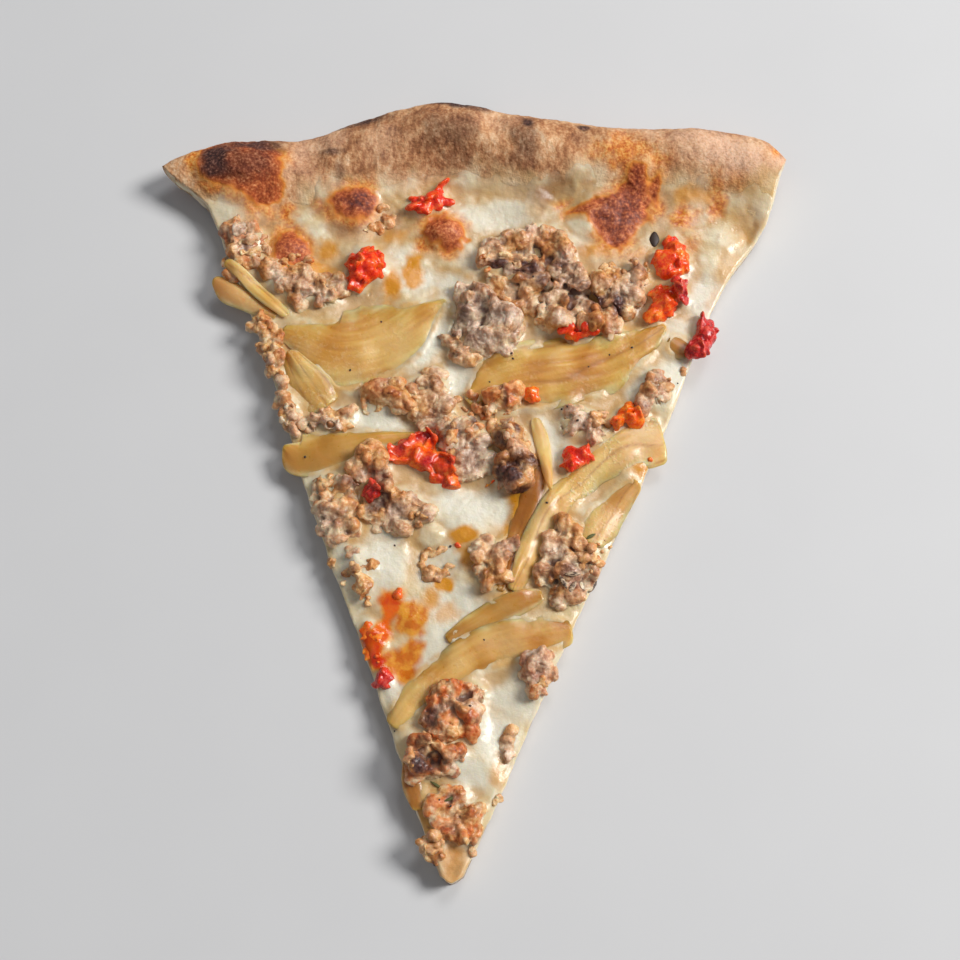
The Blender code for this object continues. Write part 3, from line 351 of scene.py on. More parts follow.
def depth_in(x, y, corners, ragged, size, seed):
    """How deep each place lies inside an outline, in millimetres; below 0 beside it."""
    corners = np.array(corners)
    low = corners.min(axis=0) - NEAR_OUTLINE
    high = corners.max(axis=0) + NEAR_OUTLINE
    near = (x > low[0]) & (x < high[0]) & (y > low[1]) & (y < high[1])
    at_x = x[near]
    at_y = y[near]
    closest = np.full(len(at_x), NEAR_OUTLINE)
    inside = np.zeros(len(at_x), dtype=bool)
    for (ax, ay), (bx, by) in zip(corners, np.roll(corners, -1, axis=0)):
        part = ((at_x - ax) * (bx - ax) + (at_y - ay) * (by - ay)) / ((bx - ax) ** 2 + (by - ay) ** 2)
        part = limit(part)
        closest = np.minimum(closest, np.hypot(at_x - mix(ax, bx, part), at_y - mix(ay, by, part)))
        if ay != by:
            crossed = ax + (at_y - ay) * (bx - ax) / (by - ay)
            inside ^= ((ay > at_y) != (by > at_y)) & (at_x < crossed)
    depth = np.full(len(x), -NEAR_OUTLINE)
    wobble = ragged * fractal(flat(at_x, at_y), size, seed)
    depth[near] = np.where(inside, closest, -closest) + wobble
    return depth


# -------------------------------------------------------------- form of the slice

def side_of(place):
    """-1 left of the middle, 1 right of it."""
    return np.where(place > 0, 1.0, -1.0)


def cut_angle(side, radius):
    """Angle of the left (-1) or right (1) cut at a distance from the apex."""
    wave = CUT_WAVE * np.sin(radius / CUT_WAVE_LENGTH + side)
    bulge = RIGHT_BULGE * np.exp(-((radius - BULGE_RADIUS) / BULGE_REACH) ** 2)
    left = mix(LEFT_CUT, LEFT_CORNER, blend(CORNER_START, CORNER_END, radius))
    return np.where(side > 0, RIGHT_CUT + bulge, left) + wave


def angle_of(across):
    """Angle at the crust of a place -1..1 across the slice."""
    return across * np.where(across > 0, RIGHT_CUT, -LEFT_CORNER)


def rim_at(across):
    """Outer radius, crest height, and how far from the edge the crest and the cheese's end are."""
    return curve_through(RIM, angle_of(across))


def relief(x, y):
    """Height of the bubbles and hollows."""
    total = np.zeros_like(x)
    for *oval, height in BUBBLES:
        along, aside = ellipse(x, y, *oval)
        total += height * np.maximum(0.0, 1.0 - along ** 2 - aside ** 2) ** BUBBLE_POWER
    return total


def waves(x, y):
    """Ripples of the cheese."""
    return CHEESE_WAVE * (np.sin(x / RIPPLE_X + 0.7) * np.cos(y / RIPPLE_Y)
                          + 0.7 * np.sin((x + 1.3 * y) / RIPPLE_SLANT))


def flat_place(across, radius):
    angle = np.radians(np.abs(across) * cut_angle(side_of(across), radius))
    return radius * np.sin(angle), radius * np.cos(angle)


def place(across, radius, z):
    """Points of the slice: across -1..1, distance from the apex, height."""
    x, y = flat_place(across, radius)
    lean = RIM_LEAN * blend(LEAN_START, 1.0, np.abs(across)) * blend(CHEESE_TOP, LEAN_TOP, z)
    lift = np.where(across > 0, RIGHT_LIFT, LEFT_LIFT) * blend(LIFT_START, 1.0, np.abs(across))
    lift = lift * blend(LIFT_INNER, LIFT_OUTER, radius)
    return np.stack([x - np.sign(across) * lean, y, z + lift], axis=-1)


def polar(x, y):
    """Place across and distance from the apex of a place on the slice."""
    radius = np.hypot(x, y)
    angle = np.degrees(np.arctan2(x, y))
    return np.clip(angle / np.abs(cut_angle(side_of(x), radius)), -1.0, 1.0), radius


def slope(across, radius):
    outer, height, crest, _ = rim_at(across)
    return mix(CHEESE_TOP, height, blend(outer - RIM_TOE, outer - crest, radius))


def skin(across, radius):
    """Height of the visible upper side up to the rim's crest."""
    x, y = flat_place(across, radius)
    toe = rim_at(across)[0] - RIM_TOE
    calm = 1.0 - blend(toe - CALM_REACH, toe + CALM_REACH, radius)
    droop = CUT_DROOP * blend(DROOP_START, 1.0, np.abs(across)) * calm
    return slope(across, radius) + relief(x, y) + waves(x, y) * calm - droop


def tip_radius(across):
    return TIP_RADIUS + TIP_ROUNDING * across * across


# ------------------------------------------------------------------ bodies in rows

TOP, CUT, UNDER = 0.0, 1.0, 2.0             # which side of the slice a point is on


def stitch(lower, upper):
    """Triangles between two rows of vertex numbers spread over the same span."""
    count = len(lower) - 1
    other = len(upper) - 1
    keys = np.concatenate([np.arange(1, count + 1) / max(count, 1),
                           np.arange(1, other + 1) / max(other, 1)])
    on_lower = np.argsort(keys, kind="stable") < count
    i = np.cumsum(on_lower)
    j = np.cumsum(~on_lower)
    first = np.stack([lower[i - 1], lower[i], upper[j]], axis=1)
    second = np.stack([lower[i], upper[j], upper[j - 1]], axis=1)
    return np.where(on_lower[:, None], first, second)


def sheet_body(counts, top_at, bottom_at, wall_steps):
    """Closed body between an upper and a lower side that meet in their last row.

    counts holds each row's number of cells above and below; top_at and bottom_at
    give the points of a row at places across the slice.  Returns points, the side
    that each is on, and triangles.
    """
    rows = []
    sides = []
    faces = []

    def add(points, side):
        first = sum(len(row) for row in sides)
        rows.append(points)
        sides.append(np.full(len(points), side))
        return np.arange(first, first + len(points))

    tops, bottoms, lefts, rights = [], [], [], []
    last = len(counts) - 1
    steps = np.linspace(0.0, 1.0, wall_steps + 1)[1:-1, None]
    for number, (above, below) in enumerate(counts):
        high = top_at(number, np.linspace(-1.0, 1.0, above + 1))
        tops.append(add(high, TOP))
        if number == last:
            bottoms.append(tops[last])
            lefts.append(tops[last][:1])
            rights.append(tops[last][-1:])
            break
        low = bottom_at(number, np.linspace(-1.0, 1.0, below + 1))
        bottoms.append(add(low, UNDER))
        for columns, end in ((lefts, 0), (rights, -1)):
            inner = add(mix(high[end], low[end], steps), CUT)
            columns.append(np.concatenate([[tops[number][end]], inner, [bottoms[number][end]]]))
    for number in range(last):
        faces.append(stitch(tops[number], tops[number + 1]))
        faces.append(stitch(bottoms[number], bottoms[number + 1])[:, ::-1])
        faces.append(stitch(lefts[number], lefts[number + 1])[:, ::-1])
        faces.append(stitch(rights[number], rights[number + 1]))
    across = np.linspace(-1.0, 1.0, counts[0][0] + 1)
    high = top_at(0, across)
    low = bottom_at(0, across)
    tip = [tops[0]]
    for step in range(1, wall_steps):
        middle = add(mix(high, low, step / wall_steps)[1:-1], CUT)
        tip.append(np.concatenate([[lefts[0][step]], middle, [rights[0][step]]]))
    tip.append(bottoms[0])
    for above, below in zip(tip, tip[1:]):
        faces.append(stitch(below, above))
    return np.concatenate(rows), np.concatenate(sides), np.concatenate(faces)


def face_normals(points, faces):
    """Normal of each triangle, twice its area long."""
    corner = points[faces]
    return np.cross(corner[:, 1] - corner[:, 0], corner[:, 2] - corner[:, 0])


def normals(points, faces):
    """Unit normal of each point."""
    cross = face_normals(points, faces)
    total = np.stack([np.bincount(faces.ravel(), np.repeat(cross[:, axis], 3), len(points))
                      for axis in range(3)], axis=1)
    return total / np.maximum(np.linalg.norm(total, axis=1, keepdims=True), 1e-12)


def smooth(values, faces, passes):
    """Columns of values, each averaged over the vertices that an edge joins."""
    start = faces.ravel()
    end = np.roll(faces, -1, axis=1).ravel()
    degree = np.maximum(np.bincount(start, minlength=len(values)), 1)
    for _ in range(passes):
        values = np.stack([np.bincount(start, column[end], len(values)) / degree
                           for column in values.T], axis=1)
    return values


def hollowness(points, faces, passes):
    """How far each point lies below the smoothed surface, in millimetres."""
    return ((smooth(points, faces, passes) - points) * normals(points, faces)).sum(axis=1)


def read_mesh(mesh):
    """Points and triangles of a mesh."""
    mesh.calc_loop_triangles()
    points = np.empty(3 * len(mesh.vertices))
    mesh.vertices.foreach_get("co", points)
    faces = np.empty(3 * len(mesh.loop_triangles), dtype=np.int64)
    mesh.loop_triangles.foreach_get("vertices", faces)
    return points.reshape(-1, 3), faces.reshape(-1, 3)


def solid(name):
    """Points and triangles of one of the frame's solids, in millimetres."""
    points, faces = read_mesh(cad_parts[name].data)
    welded, number = np.unique(np.round(points / MM - APEX, 3), axis=0, return_inverse=True)
    faces = number.ravel()[faces]
    real = (faces[:, 0] != faces[:, 1]) & (faces[:, 1] != faces[:, 2]) & (faces[:, 0] != faces[:, 2])
    return welded, faces[real]


def tree_of(points, faces):
    return BVHTree.FromPolygons(points.tolist(), faces.tolist())


DOWN = Vector((0.0, 0.0, -1.0))
SKY = 60.0


def height_on(tree, x, y):
    """Height of a surface below the sky at a place, or None beside it."""
    hit = tree.ray_cast(Vector((x, y, SKY)), DOWN)[0]
    return None if hit is None else hit.z


def add_object(name, data):
    made = bpy.data.objects.new(name, data)
    bpy.context.scene.collection.objects.link(made)
    return made


def joined(parts):
    """Points and triangles of several bodies as one."""
    points = np.concatenate([part[0] for part in parts])
    starts = np.cumsum([0] + [len(part[0]) for part in parts[:-1]])
    return points, np.concatenate([part[1] + start for part, start in zip(parts, starts)])


def skin_round(parts, cell):
    """One closed skin round overlapping closed bodies."""
    points, faces = joined(parts)
    mesh = bpy.data.meshes.new("draft")
    mesh.from_pydata(points.tolist(), [], faces.tolist())
    draft = add_object("draft", mesh)
    remesh = draft.modifiers.new("skin", "REMESH")
    remesh.mode = "VOXEL"
    remesh.voxel_size = cell
    skin = read_mesh(draft.evaluated_get(bpy.context.evaluated_depsgraph_get()).to_mesh())
    bpy.data.objects.remove(draft, do_unlink=True)
    bpy.data.meshes.remove(mesh)
    return skin


def add_piece(name, points, faces, finish, slot, masks=None, nodes=()):
    """Piece of the model from points in millimetres, with a value a point for each mask."""
    mesh = bpy.data.meshes.new(name)
    mesh.from_pydata(((points + APEX) * MM).tolist(), [], faces.tolist())
    for key, values in (masks or {}).items():
        attribute = mesh.attributes.new(key, "FLOAT", "POINT")
        attribute.data.foreach_set("value", np.asarray(values, dtype=np.float32))
    mesh.materials.append(finish)
    mesh.shade_smooth()
    piece = add_object(name, mesh)
    if nodes:
        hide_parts(*nodes)
    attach(piece, "root")


# --------------------------------------------------------------------- materials

def rgb(red, green, blue):
    """Linear colour from the 0-255 values that a screen shows."""
    return tuple(((v / 255.0 + 0.055) / 1.055) ** 2.4 if v > 10 else v / 3294.0
                 for v in (red, green, blue)) + (1.0,)


def shade(colour):
    """Linear colour of a red, green and blue; the output of a node stays as it is."""
    return rgb(*colour) if isinstance(colour, tuple) else colour


COAT_ROUGHNESS = 0.12


class Finish:
    """Node tree of one material, with a short call for each kind of node in it.

    A value is a number, the output of a node or the name of a mask.
    """

    def __init__(self, name, roughness, specular=0.5, subsurface=0.0, reach=(1.0, 0.5, 0.3), coat=0.0):
        self.material = bpy.data.materials.new(name)
        self.material.use_nodes = True
        self.tree = self.material.node_tree
        self.shader = self.tree.nodes["Principled BSDF"]
        values = {"Roughness": roughness, "Specular IOR Level": specular,
                  "Subsurface Weight": subsurface, "Subsurface Radius": reach,
                  "Subsurface Scale": MM, "Coat Weight": coat, "Coat Roughness": COAT_ROUGHNESS}
        for key, value in values.items():
            self.shader.inputs[key].default_value = value
        self.place = self.tree.nodes.new("ShaderNodeTexCoord").outputs["Object"]
        self.bumps = None

    def node(self, kind, inputs, **settings):
        made = self.tree.nodes.new("ShaderNode" + kind)
        for key, value in settings.items():
            setattr(made, key, value)
        for key, value in inputs.items():
            self.feed(made.inputs[key], value)
        return made

    def feed(self, socket, value):
        if isinstance(value, str):
            value = self.node("Attribute", {}, attribute_name=value).outputs["Fac"]
        if isinstance(value, bpy.types.NodeSocket):
            self.tree.links.new(value, socket)
        else:
            socket.default_value = value

    def use(self, name, value):
        self.feed(self.shader.inputs[name], value)

    def noise(self, size, detail, stretch=(1.0, 1.0, 1.0)):
        """Cloudy value 0..1 with bumps about a size in millimetres apart."""
        at = self.node("VectorMath", {0: self.place, 1: stretch}, operation="MULTIPLY").outputs[0]
        made = self.node("TexNoise", {"Vector": at, "Scale": 1.0 / (size * MM), "Detail": detail})
        return made.outputs["Fac"]

    def times(self, a, b):
        return self.node("Math", {0: a, 1: b}, operation="MULTIPLY").outputs[0]

    def weighted(self, *rows):
        """Sum of values, each times its weight."""
        total = 0.0
        for value, weight in rows:
            total = self.node("Math", {0: value, 1: weight, 2: total}, operation="MULTIPLY_ADD").outputs[0]
        return total

    def band(self, value, low, high, start=0.0, end=1.0):
        """start below low, end above high, and even in between."""
        return self.node("MapRange", {0: value, 1: low, 2: high, 3: start, 4: end}).outputs[0]

    def patchy(self, mask, size, detail, *band):
        """A mask broken up by noise."""
        return self.times(mask, self.band(self.noise(size, detail), *band))

    def ramp(self, value, *stops):
        """Colour that goes through stops; each is a position, red, green and blue."""
        made = self.node("ValToRGB", {"Fac": value})
        elements = made.color_ramp.elements
        while len(elements) < len(stops):
            elements.new(1.0)
        for element, (position, *colour) in zip(elements, stops):
            element.position = position
            element.color = rgb(*colour)
        return made.outputs["Color"]

    def mix(self, part, a, b):
        made = self.node("Mix", {0: part, 6: shade(a), 7: shade(b)}, data_type="RGBA")
        return made.outputs[2]

    def coated(self, colour, *coats):
        """Colour under some coats; each is how much of it shows and its colour."""
        for part, coat in coats:
            colour = self.mix(part, colour, coat)
        return colour

    def bump(self, height, depth):
        """Fine relief, depth in millimetres, on top of any that was added before."""
        inputs = {"Height": height, "Distance": depth * MM, "Strength": 1.0}
        if self.bumps:
            inputs["Normal"] = self.bumps
        self.bumps = self.node("Bump", inputs).outputs["Normal"]
        self.use("Normal", self.bumps)


def blister_colour(f, grit):
    """Brown of a blister, more golden towards its edge."""
    brown = f.ramp(grit, (0.28, 146, 62, 26), (0.46, 180, 88, 42), (0.62, 204, 116, 64),
                   (0.85, 232, 158, 104))
    edge = f.ramp("brown", (0.0, 226, 168, 92), (0.5, 214, 130, 50), (0.9, 188, 96, 40))
    return f.mix(f.band("brown", 0.5, 1.0), edge, brown)


def baked_colour(f, light, dark):
    """Colour of the baked upper side: cheese or dough, toast, blisters, oil and char."""
    grain = f.noise(0.8, 4.0)
    cloud = f.noise(8.0, 3.0)
    streak = f.noise(1.5, 3.0, stretch=(1.0, 0.4, 0.6))
    grit = f.weighted(("grit", 0.25), (f.band(f.noise(0.8, 2.0), 0.3, 0.7), 0.45), (cloud, 0.3))
    mottle = f.weighted((grain, 0.25), (streak, 0.35), (cloud, 0.4))
    pale = f.coated(
        f.mix(f.band(cloud, 0.38, 0.62), dark, light),
        (f.patchy("juice", 3.0, 3.0, 0.36, 0.62, 0.08, 0.75), (204, 152, 78)),
        # darker, more golden colour in the cheese's hollows
        (f.times("hollow", 0.6), (192, 142, 74)),
        ("white", (220, 214, 194)),
        (f.patchy("hug", 5.0, 2.0, 0.4, 0.6, 0.1, 0.7), (210, 160, 84)))
    tan = f.ramp(mottle, (0.36, 126, 78, 50), (0.45, 172, 116, 76), (0.53, 206, 154, 110),
                 (0.64, 236, 198, 158))
    tan = f.mix(f.times("flour", f.band(grain, 0.3, 0.6, 0.4, 0.95)), tan, (234, 192, 162))
    even = f.band(cloud, 0.4, 0.6)
    amber = f.mix(f.band(f.noise(2.5, 2.0), 0.4, 0.6), (208, 112, 12), (228, 156, 48))
    maroon = f.ramp(grit, (0.28, 82, 28, 20), (0.48, 112, 44, 28), (0.64, 148, 70, 42),
                    (0.88, 204, 126, 82))
    return f.coated(
        pale,
        ("toast", tan),
        (f.band("oil", 0.0, 0.8), (212, 144, 34)),
        # painted brown shade in the hollows
        (f.times("hollow_shade", 0.8), (132, 88, 48)),
        ("orange", f.ramp(grit, (0.3, 194, 92, 18), (0.5, 222, 132, 38), (0.7, 236, 172, 86))),
        ("amber", amber),
        ("stain", f.mix(even, (206, 48, 2), (232, 104, 6))),
        (f.band("brown", 0.04, 0.4), blister_colour(f, grit)),
        ("maroon", maroon),
        ("char", f.ramp(grain, (0.38, 40, 24, 24), (0.54, 74, 46, 42), (0.7, 138, 98, 84))))


def crust_finish():
    f = Finish("baked dough", 0.78, specular=0.3, subsurface=0.12, reach=(2.0, 1.0, 0.6))
    crumb = f.mix(f.noise(2.4, 3.0), (222, 196, 158), (244, 232, 210))
    spots = f.weighted((f.noise(24.0, 4.0), 0.7), (f.noise(3.5, 3.0), 0.3))
    sole = f.ramp(spots, (0.36, 96, 58, 38), (0.43, 168, 114, 74), (0.5, 210, 168, 124),
                  (0.66, 230, 204, 168))
    f.use("Base Color", f.coated(
        baked_colour(f, (222, 200, 164), (204, 172, 122)),
        ("cut", f.mix("heel", crumb, (150, 98, 62))),
        ("under", sole)))
    f.bump(f.noise(1.1, 4.0), 0.35)
    f.bump(f.noise(0.45, 2.0), 0.12)
    return f.material


def cheese_finish():
    f = Finish("melted cheese", 0.34, subsurface=0.45, reach=(2.4, 1.6, 0.9), coat=0.15)
    top = baked_colour(f, (226, 214, 184), (212, 188, 142))
    f.use("Base Color", f.mix("cut", top, f.mix(f.noise(3.0, 2.0), (234, 212, 174), (244, 228, 198))))
    rough = f.band(f.noise(3.0, 3.0), 0.35, 0.7, 0.24, 0.46)
    f.use("Roughness", f.weighted((rough, 1.0), ("toast", 0.45), ("brown", 0.3), ("stain", -0.15)))
    f.use("Coat Weight", f.band(f.weighted(("toast", 1.0), ("brown", 1.0)), 0.0, 0.4, 0.15, 0.0))
    f.bump(f.noise(1.6, 3.0), 0.18)
    f.bump(f.noise(0.5, 2.0), 0.05)
    return f.material


def meat_finish():
    f = Finish("cooked sausage", 0.42, subsurface=0.45, reach=(2.2, 1.1, 0.7), coat=0.12)
    patch = f.band(f.noise(2.8, 2.0), 0.34, 0.66)
    grain = f.band(f.noise(0.9, 3.0), 0.34, 0.66)
    tone = f.weighted((patch, 0.35), (grain, 0.25), ("tone", 0.4))
    tan = f.ramp(tone, (0.12, 146, 86, 44), (0.38, 188, 126, 68), (0.62, 222, 168, 106),
                 (0.86, 248, 214, 164))
    grey = f.ramp(tone, (0.1, 134, 98, 80), (0.4, 190, 154, 128), (0.84, 244, 220, 196))
    rusty = f.ramp(tone, (0.1, 150, 56, 16), (0.42, 208, 106, 42), (0.88, 242, 170, 104))
    f.use("Base Color", f.coated(
        f.mix("grey", tan, grey),
        (f.patchy("rust", 4.0, 2.0, 0.45, 0.57), rusty),
        # raised lumps lighter: partly browning, partly painted light
        (f.patchy("ridge", 2.4, 2.0, 0.4, 0.6, 0.0, 0.6), (212, 142, 84)),
        (f.patchy("film", 2.4, 3.0, 0.42, 0.58, 0.0, 0.85), (232, 208, 170)),
        # painted shade in the meat's hollows
        (f.times("pit_shade", 0.9), (88, 52, 42)),
        # real char, and painted shade in the hollows between the lumps
        ("char_and_shade", f.mix(grain, (56, 28, 28), (116, 74, 62)))))
    f.use("Roughness", f.band(f.noise(1.3, 2.0), 0.3, 0.7, 0.3, 0.6))
    f.bump(f.noise(0.9, 3.0), 0.3)
    return f.material


def onion_finish():
    f = Finish("soft onion", 0.3, subsurface=0.6, reach=(4.0, 2.0, 0.6), coat=0.15)
    tone = f.weighted(("fibre", 0.22), (f.noise(12.0, 1.0), 0.78))
    frost_and_glints = f.patchy("frost_and_glints", 1.3, 2.0, 0.5, 0.66)
    f.use("Base Color", f.coated(
        f.ramp(tone, (0.34, 190, 122, 38), (0.45, 208, 144, 54), (0.57, 222, 166, 76),
               (0.72, 240, 196, 118)),
        ("deep", (164, 98, 28)),
        ("olive", (184, 132, 58)),
        ("bright", (236, 192, 134)),
        # paler thin edges: painted light showing through the onion
        (f.patchy("thin_edge_light", 6.0, 2.0, 0.4, 0.6, 0.1, 0.75), (236, 204, 152)),
        (f.times("seam", 0.6), (152, 92, 36)),
        # pale frosty specks; their lightening is partly painted glints
        (f.times(frost_and_glints, 0.4), (244, 222, 186))))
    rough = f.band(f.noise(1.6, 3.0), 0.3, 0.7, 0.26, 0.5)
    f.use("Roughness", f.weighted((rough, 1.0), ("frost_and_glints", 0.08)))
    f.bump(f.noise(1.6, 3.0), 0.12)
    f.bump(frost_and_glints, 0.14)
    return f.material


def pepper_finish():
    f = Finish("red chili", 0.3, subsurface=0.3, reach=(1.6, 0.4, 0.1), coat=0.3)
    tone = f.weighted((f.noise(2.4, 2.0), 0.65), (f.noise(0.6, 2.0), 0.35))
    f.use("Base Color", f.coated(
        f.ramp(tone, (0.34, 214, 20, 4), (0.5, 244, 52, 14), (0.64, 254, 118, 44)),
        ("crimson", f.ramp(tone, (0.34, 146, 8, 12), (0.5, 206, 30, 28), (0.68, 234, 92, 76))),
        ("orange", f.ramp(tone, (0.34, 236, 70, 2), (0.5, 250, 108, 6), (0.68, 254, 168, 56))),
        # painted light on the pepper's ridges
        (f.times("ridge", 0.3), (255, 132, 62)),
        # painted shade in the pepper's hollows
        (f.times("pit_shade", 0.8), (134, 10, 6))))
    f.use("Roughness", f.band(f.noise(0.8, 2.0), 0.3, 0.7, 0.18, 0.45))
    f.bump(f.noise(0.7, 3.0), 0.14)
    return f.material


def floor_finish():
    f = Finish("pale floor", 0.55, specular=0.3)
    f.use("Base Color", f.mix(f.noise(40.0, 2.0), (208, 208, 209), (212, 212, 213)))
    return f.material


# ---------------------------------------------------------- chart of the toppings

CHART_CELL = 0.5
CHART_LOW = np.array((-105.0, -2.0))
CHART_SIZE = (400, 500)


def chart_toppings(kinds):
    """Height of the topmost topping of some kinds in each cell of a chart, or 0."""
    chart = np.zeros(CHART_SIZE)
    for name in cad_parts:
        if not name.startswith(kinds):
            continue
        points, faces = solid(name)
        tree = tree_of(points, faces)
        low = np.floor((points.min(axis=0)[:2] - CHART_LOW) / CHART_CELL).astype(int)
        high = np.ceil((points.max(axis=0)[:2] - CHART_LOW) / CHART_CELL).astype(int)
        for i in range(low[0], high[0] + 1):
            for j in range(low[1], high[1] + 1):
                z = height_on(tree, *(CHART_LOW + CHART_CELL * np.array((i, j))))
                if z is not None:
                    chart[i, j] = max(chart[i, j], z)
    return chart


def soften(chart, passes):
    for _ in range(passes):
        for axis in (0, 1):
            chart = 0.25 * (np.roll(chart, 1, axis) + np.roll(chart, -1, axis)) + 0.5 * chart
    return chart


def read_chart(chart, x, y):
    """Value of a chart at places, even between its cells."""
    at_x = np.clip((x - CHART_LOW[0]) / CHART_CELL, 0.0, CHART_SIZE[0] - 1.001)
    at_y = np.clip((y - CHART_LOW[1]) / CHART_CELL, 0.0, CHART_SIZE[1] - 1.001)
    i = at_x.astype(int)
    j = at_y.astype(int)
    u = at_x - i
    v = at_y - j
    return ((chart[i, j] * (1 - u) + chart[i + 1, j] * u) * (1 - v)
            + (chart[i, j + 1] * (1 - u) + chart[i + 1, j + 1] * u) * v)


COVER_DEPTH = 3             # cells that the cheese may lap over the onion
COVER_REACH = 8             # cells beside the onion that it still bends round
COVER_RISE = 0.2            # that the cheese rises in a cell away from the onion
COVER_GAP = 0.45            # between the cheese and the onion's upper side
COVER_SOFTENING = 3
OPEN_SKY = 99.0


def spread_out(chart):
    """Chart whose cells each hold the highest value in and beside them."""
    for axis in (0, 1):
        chart = np.maximum(chart, np.maximum(np.roll(chart, 1, axis), np.roll(chart, -1, axis)))
    return chart


def ceiling_over(chart):
    """Height that the cheese keeps below: just under the toppings, rising beside them."""
    depth = -COVER_REACH * np.ones(CHART_SIZE)
    height = chart.copy()
    reached = chart > 0.0
    inner = reached
    for step in range(COVER_REACH):
        depth = np.where(reached & (depth <= -COVER_REACH), -float(step), depth)
        height = np.where(reached, height, spread_out(height))
        reached = spread_out(reached)
    for step in range(COVER_DEPTH):
        inner = ~spread_out(~inner)
        depth = np.where(inner, step + 1.0, depth)
    low = soften(height - COVER_GAP + COVER_RISE * (COVER_DEPTH - depth), COVER_SOFTENING)
    return np.where(reached, low, OPEN_SKY)


def nearness(chart, passes):
    """1 under the toppings of a chart, fading out beside them."""
    return soften((chart > 0.0).astype(float), passes)


MEAT_CHART = chart_toppings(("sausage", "pepper"))
ONION_CHART = chart_toppings(("onion",))
BESIDE = nearness(MEAT_CHART, 12)           # cheese that climbs round the meat
HUGGING = nearness(ONION_CHART, 8)          # and round the onion
JUICY = nearness(MEAT_CHART, 70)            # cheese stained by the meat's juice
CEILING = ceiling_over(ONION_CHART)


# ---------------------------------------------------------------- dough and cheese

PAST_TOASTED = 1.5          # that the cheese runs on into the toasted band
BEFORE_CREST = 5.0          # that it keeps from the crest of the rim
FILM_TOP = 0.35             # height of the cheese over the baked skin
FILM_SUNK = -0.5            # and where it has run out
FILM_FADE = (-7.0, 3.0)     # distances past the cheese's end between which it runs out
RAGGED_END = 2.2


def cheese_end(across):
    """Distance from the apex at which the cheese runs out into the crust."""
    outer, _, crest, _ = rim_at(across)
    start = curve_through(TOASTED, angle_of(across))[0]
    return np.minimum(start + PAST_TOASTED, outer - crest - BEFORE_CREST)


def film(across, radius):
    """Height of the cheese over the baked skin; below 0 the crust shows."""
    x, y = flat_place(across, radius)
    past_end = radius - cheese_end(across) + RAGGED_END * fractal(flat(x, y), 6.0, 11)
    return mix(FILM_TOP, FILM_SUNK, blend(*FILM_FADE, past_end))


# Layers of noise; each row is a height, a size and a seed.
GRIT_LAYERS = ((0.5, 1.6, 57), (0.3, 0.9, 59))
SKIN_LAYERS = ((0.3, 6.0, 41), (0.16, 2.4, 42), (0.13, 1.2, 43))
CHEESE_LAYERS = ((0.55, 9.0, 51), (0.36, 4.5, 52), (0.14, 2.0, 53))
BULGE_LAYERS = ((0.35, 4.0, 55), (0.12, 1.5, 56))
BLISTER_LAYERS = ((0.35, 1.6, 57), (0.25, 0.9, 59))


def blister_masks(x, y, before_edge):
    """How brown and how dark the blisters are, and how much glows round them."""
    at = flat(x, y)
    brown = np.zeros_like(x)
    maroon = np.zeros_like(x)
    glow = np.zeros_like(x)
    uneven = blend(-0.6, 0.5, noise(at, 6.0, 36))
    for number, (dark, corners) in enumerate(BLISTERS):
        depth = depth_in(x, y, corners, 1.0, 3.0, 130 + 5 * number)
        brown = np.maximum(brown, blend(-1.6, 2.2, depth + 0.5 * noise(at, 1.4, 60)))
        maroon = np.maximum(maroon, dark * blend(0.6, 4.2, depth + 1.6 * noise(at, 3.4, 37)))
        glow = np.maximum(glow, 0.8 * blend(-4.2, -0.6, depth) * uneven * before_edge)
    return brown, maroon, glow


def stain_masks(x, y):
    """How red and how amber the oil stains are."""
    stain = np.zeros_like(x)
    amber = np.zeros_like(x)
    for number, (red, corners) in enumerate(STAINS):
        depth = depth_in(x, y, corners, 0.7, 2.6, 170 + 5 * number)
        stain = np.maximum(stain, red * blend(0.0, 1.6, depth))
        amber = np.maximum(amber, blend(-1.6, 0.8, depth))
    return stain, amber


def toasted(x, y):
    """How toasted the upper side is: the band along the crust and the patches."""
    at = flat(x, y)
    start = curve_through(TOASTED, np.degrees(np.arctan2(x, y)))[0]
    ragged = 2.6 * fractal(at, 7.0, 21)
    streaky = 1.3 * noise(at, (1.6, 7.0, 1.0), 22)
    band = blend(-5.0, 4.5, np.hypot(x, y) - start + ragged + streaky)
    return np.maximum(band, painted("toast", x, y))


def bake_masks(points, sides):
    """How toasted, charred, brown, orange, oily and white each point is, and where brown shade is painted.
    """
    x = points[:, 0]
    y = points[:, 1]
    across, radius = polar(x, y)
    outer = rim_at(across)[0]
    brown, maroon, glow = blister_masks(x, y, 1.0 - blend(outer - 6.0, outer - 2.0, radius))
    stain, amber = stain_masks(x, y)
    toast = toasted(x, y)
    juice = read_chart(JUICY, x, y) + 0.22 * fractal(flat(x, y), 6.0, 23)
    masks = {kind: painted(kind, x, y) for kind in ("flour", "char", "oil", "hollow_shade")}
    return masks | {
        "toast": toast,
        "brown": brown,
        "maroon": maroon,
        "grit": limit(layered(points, GRIT_LAYERS, 0.5)),
        "orange": np.maximum(glow, painted("orange", x, y)),
        "stain": stain,
        "amber": amber,
        "white": painted("white", x, y) * (1.0 - toast),
        "juice": blend(0.35, 0.9, juice) * (1.0 - toast),
        "hug": blend(0.15, 0.7, read_chart(HUGGING, x, y)),
        "cut": (sides == CUT).astype(float),
        "under": (sides == UNDER).astype(float),
        "heel": (sides == CUT) * (1.0 - blend(0.4, 1.0, points[:, 2])),
    }


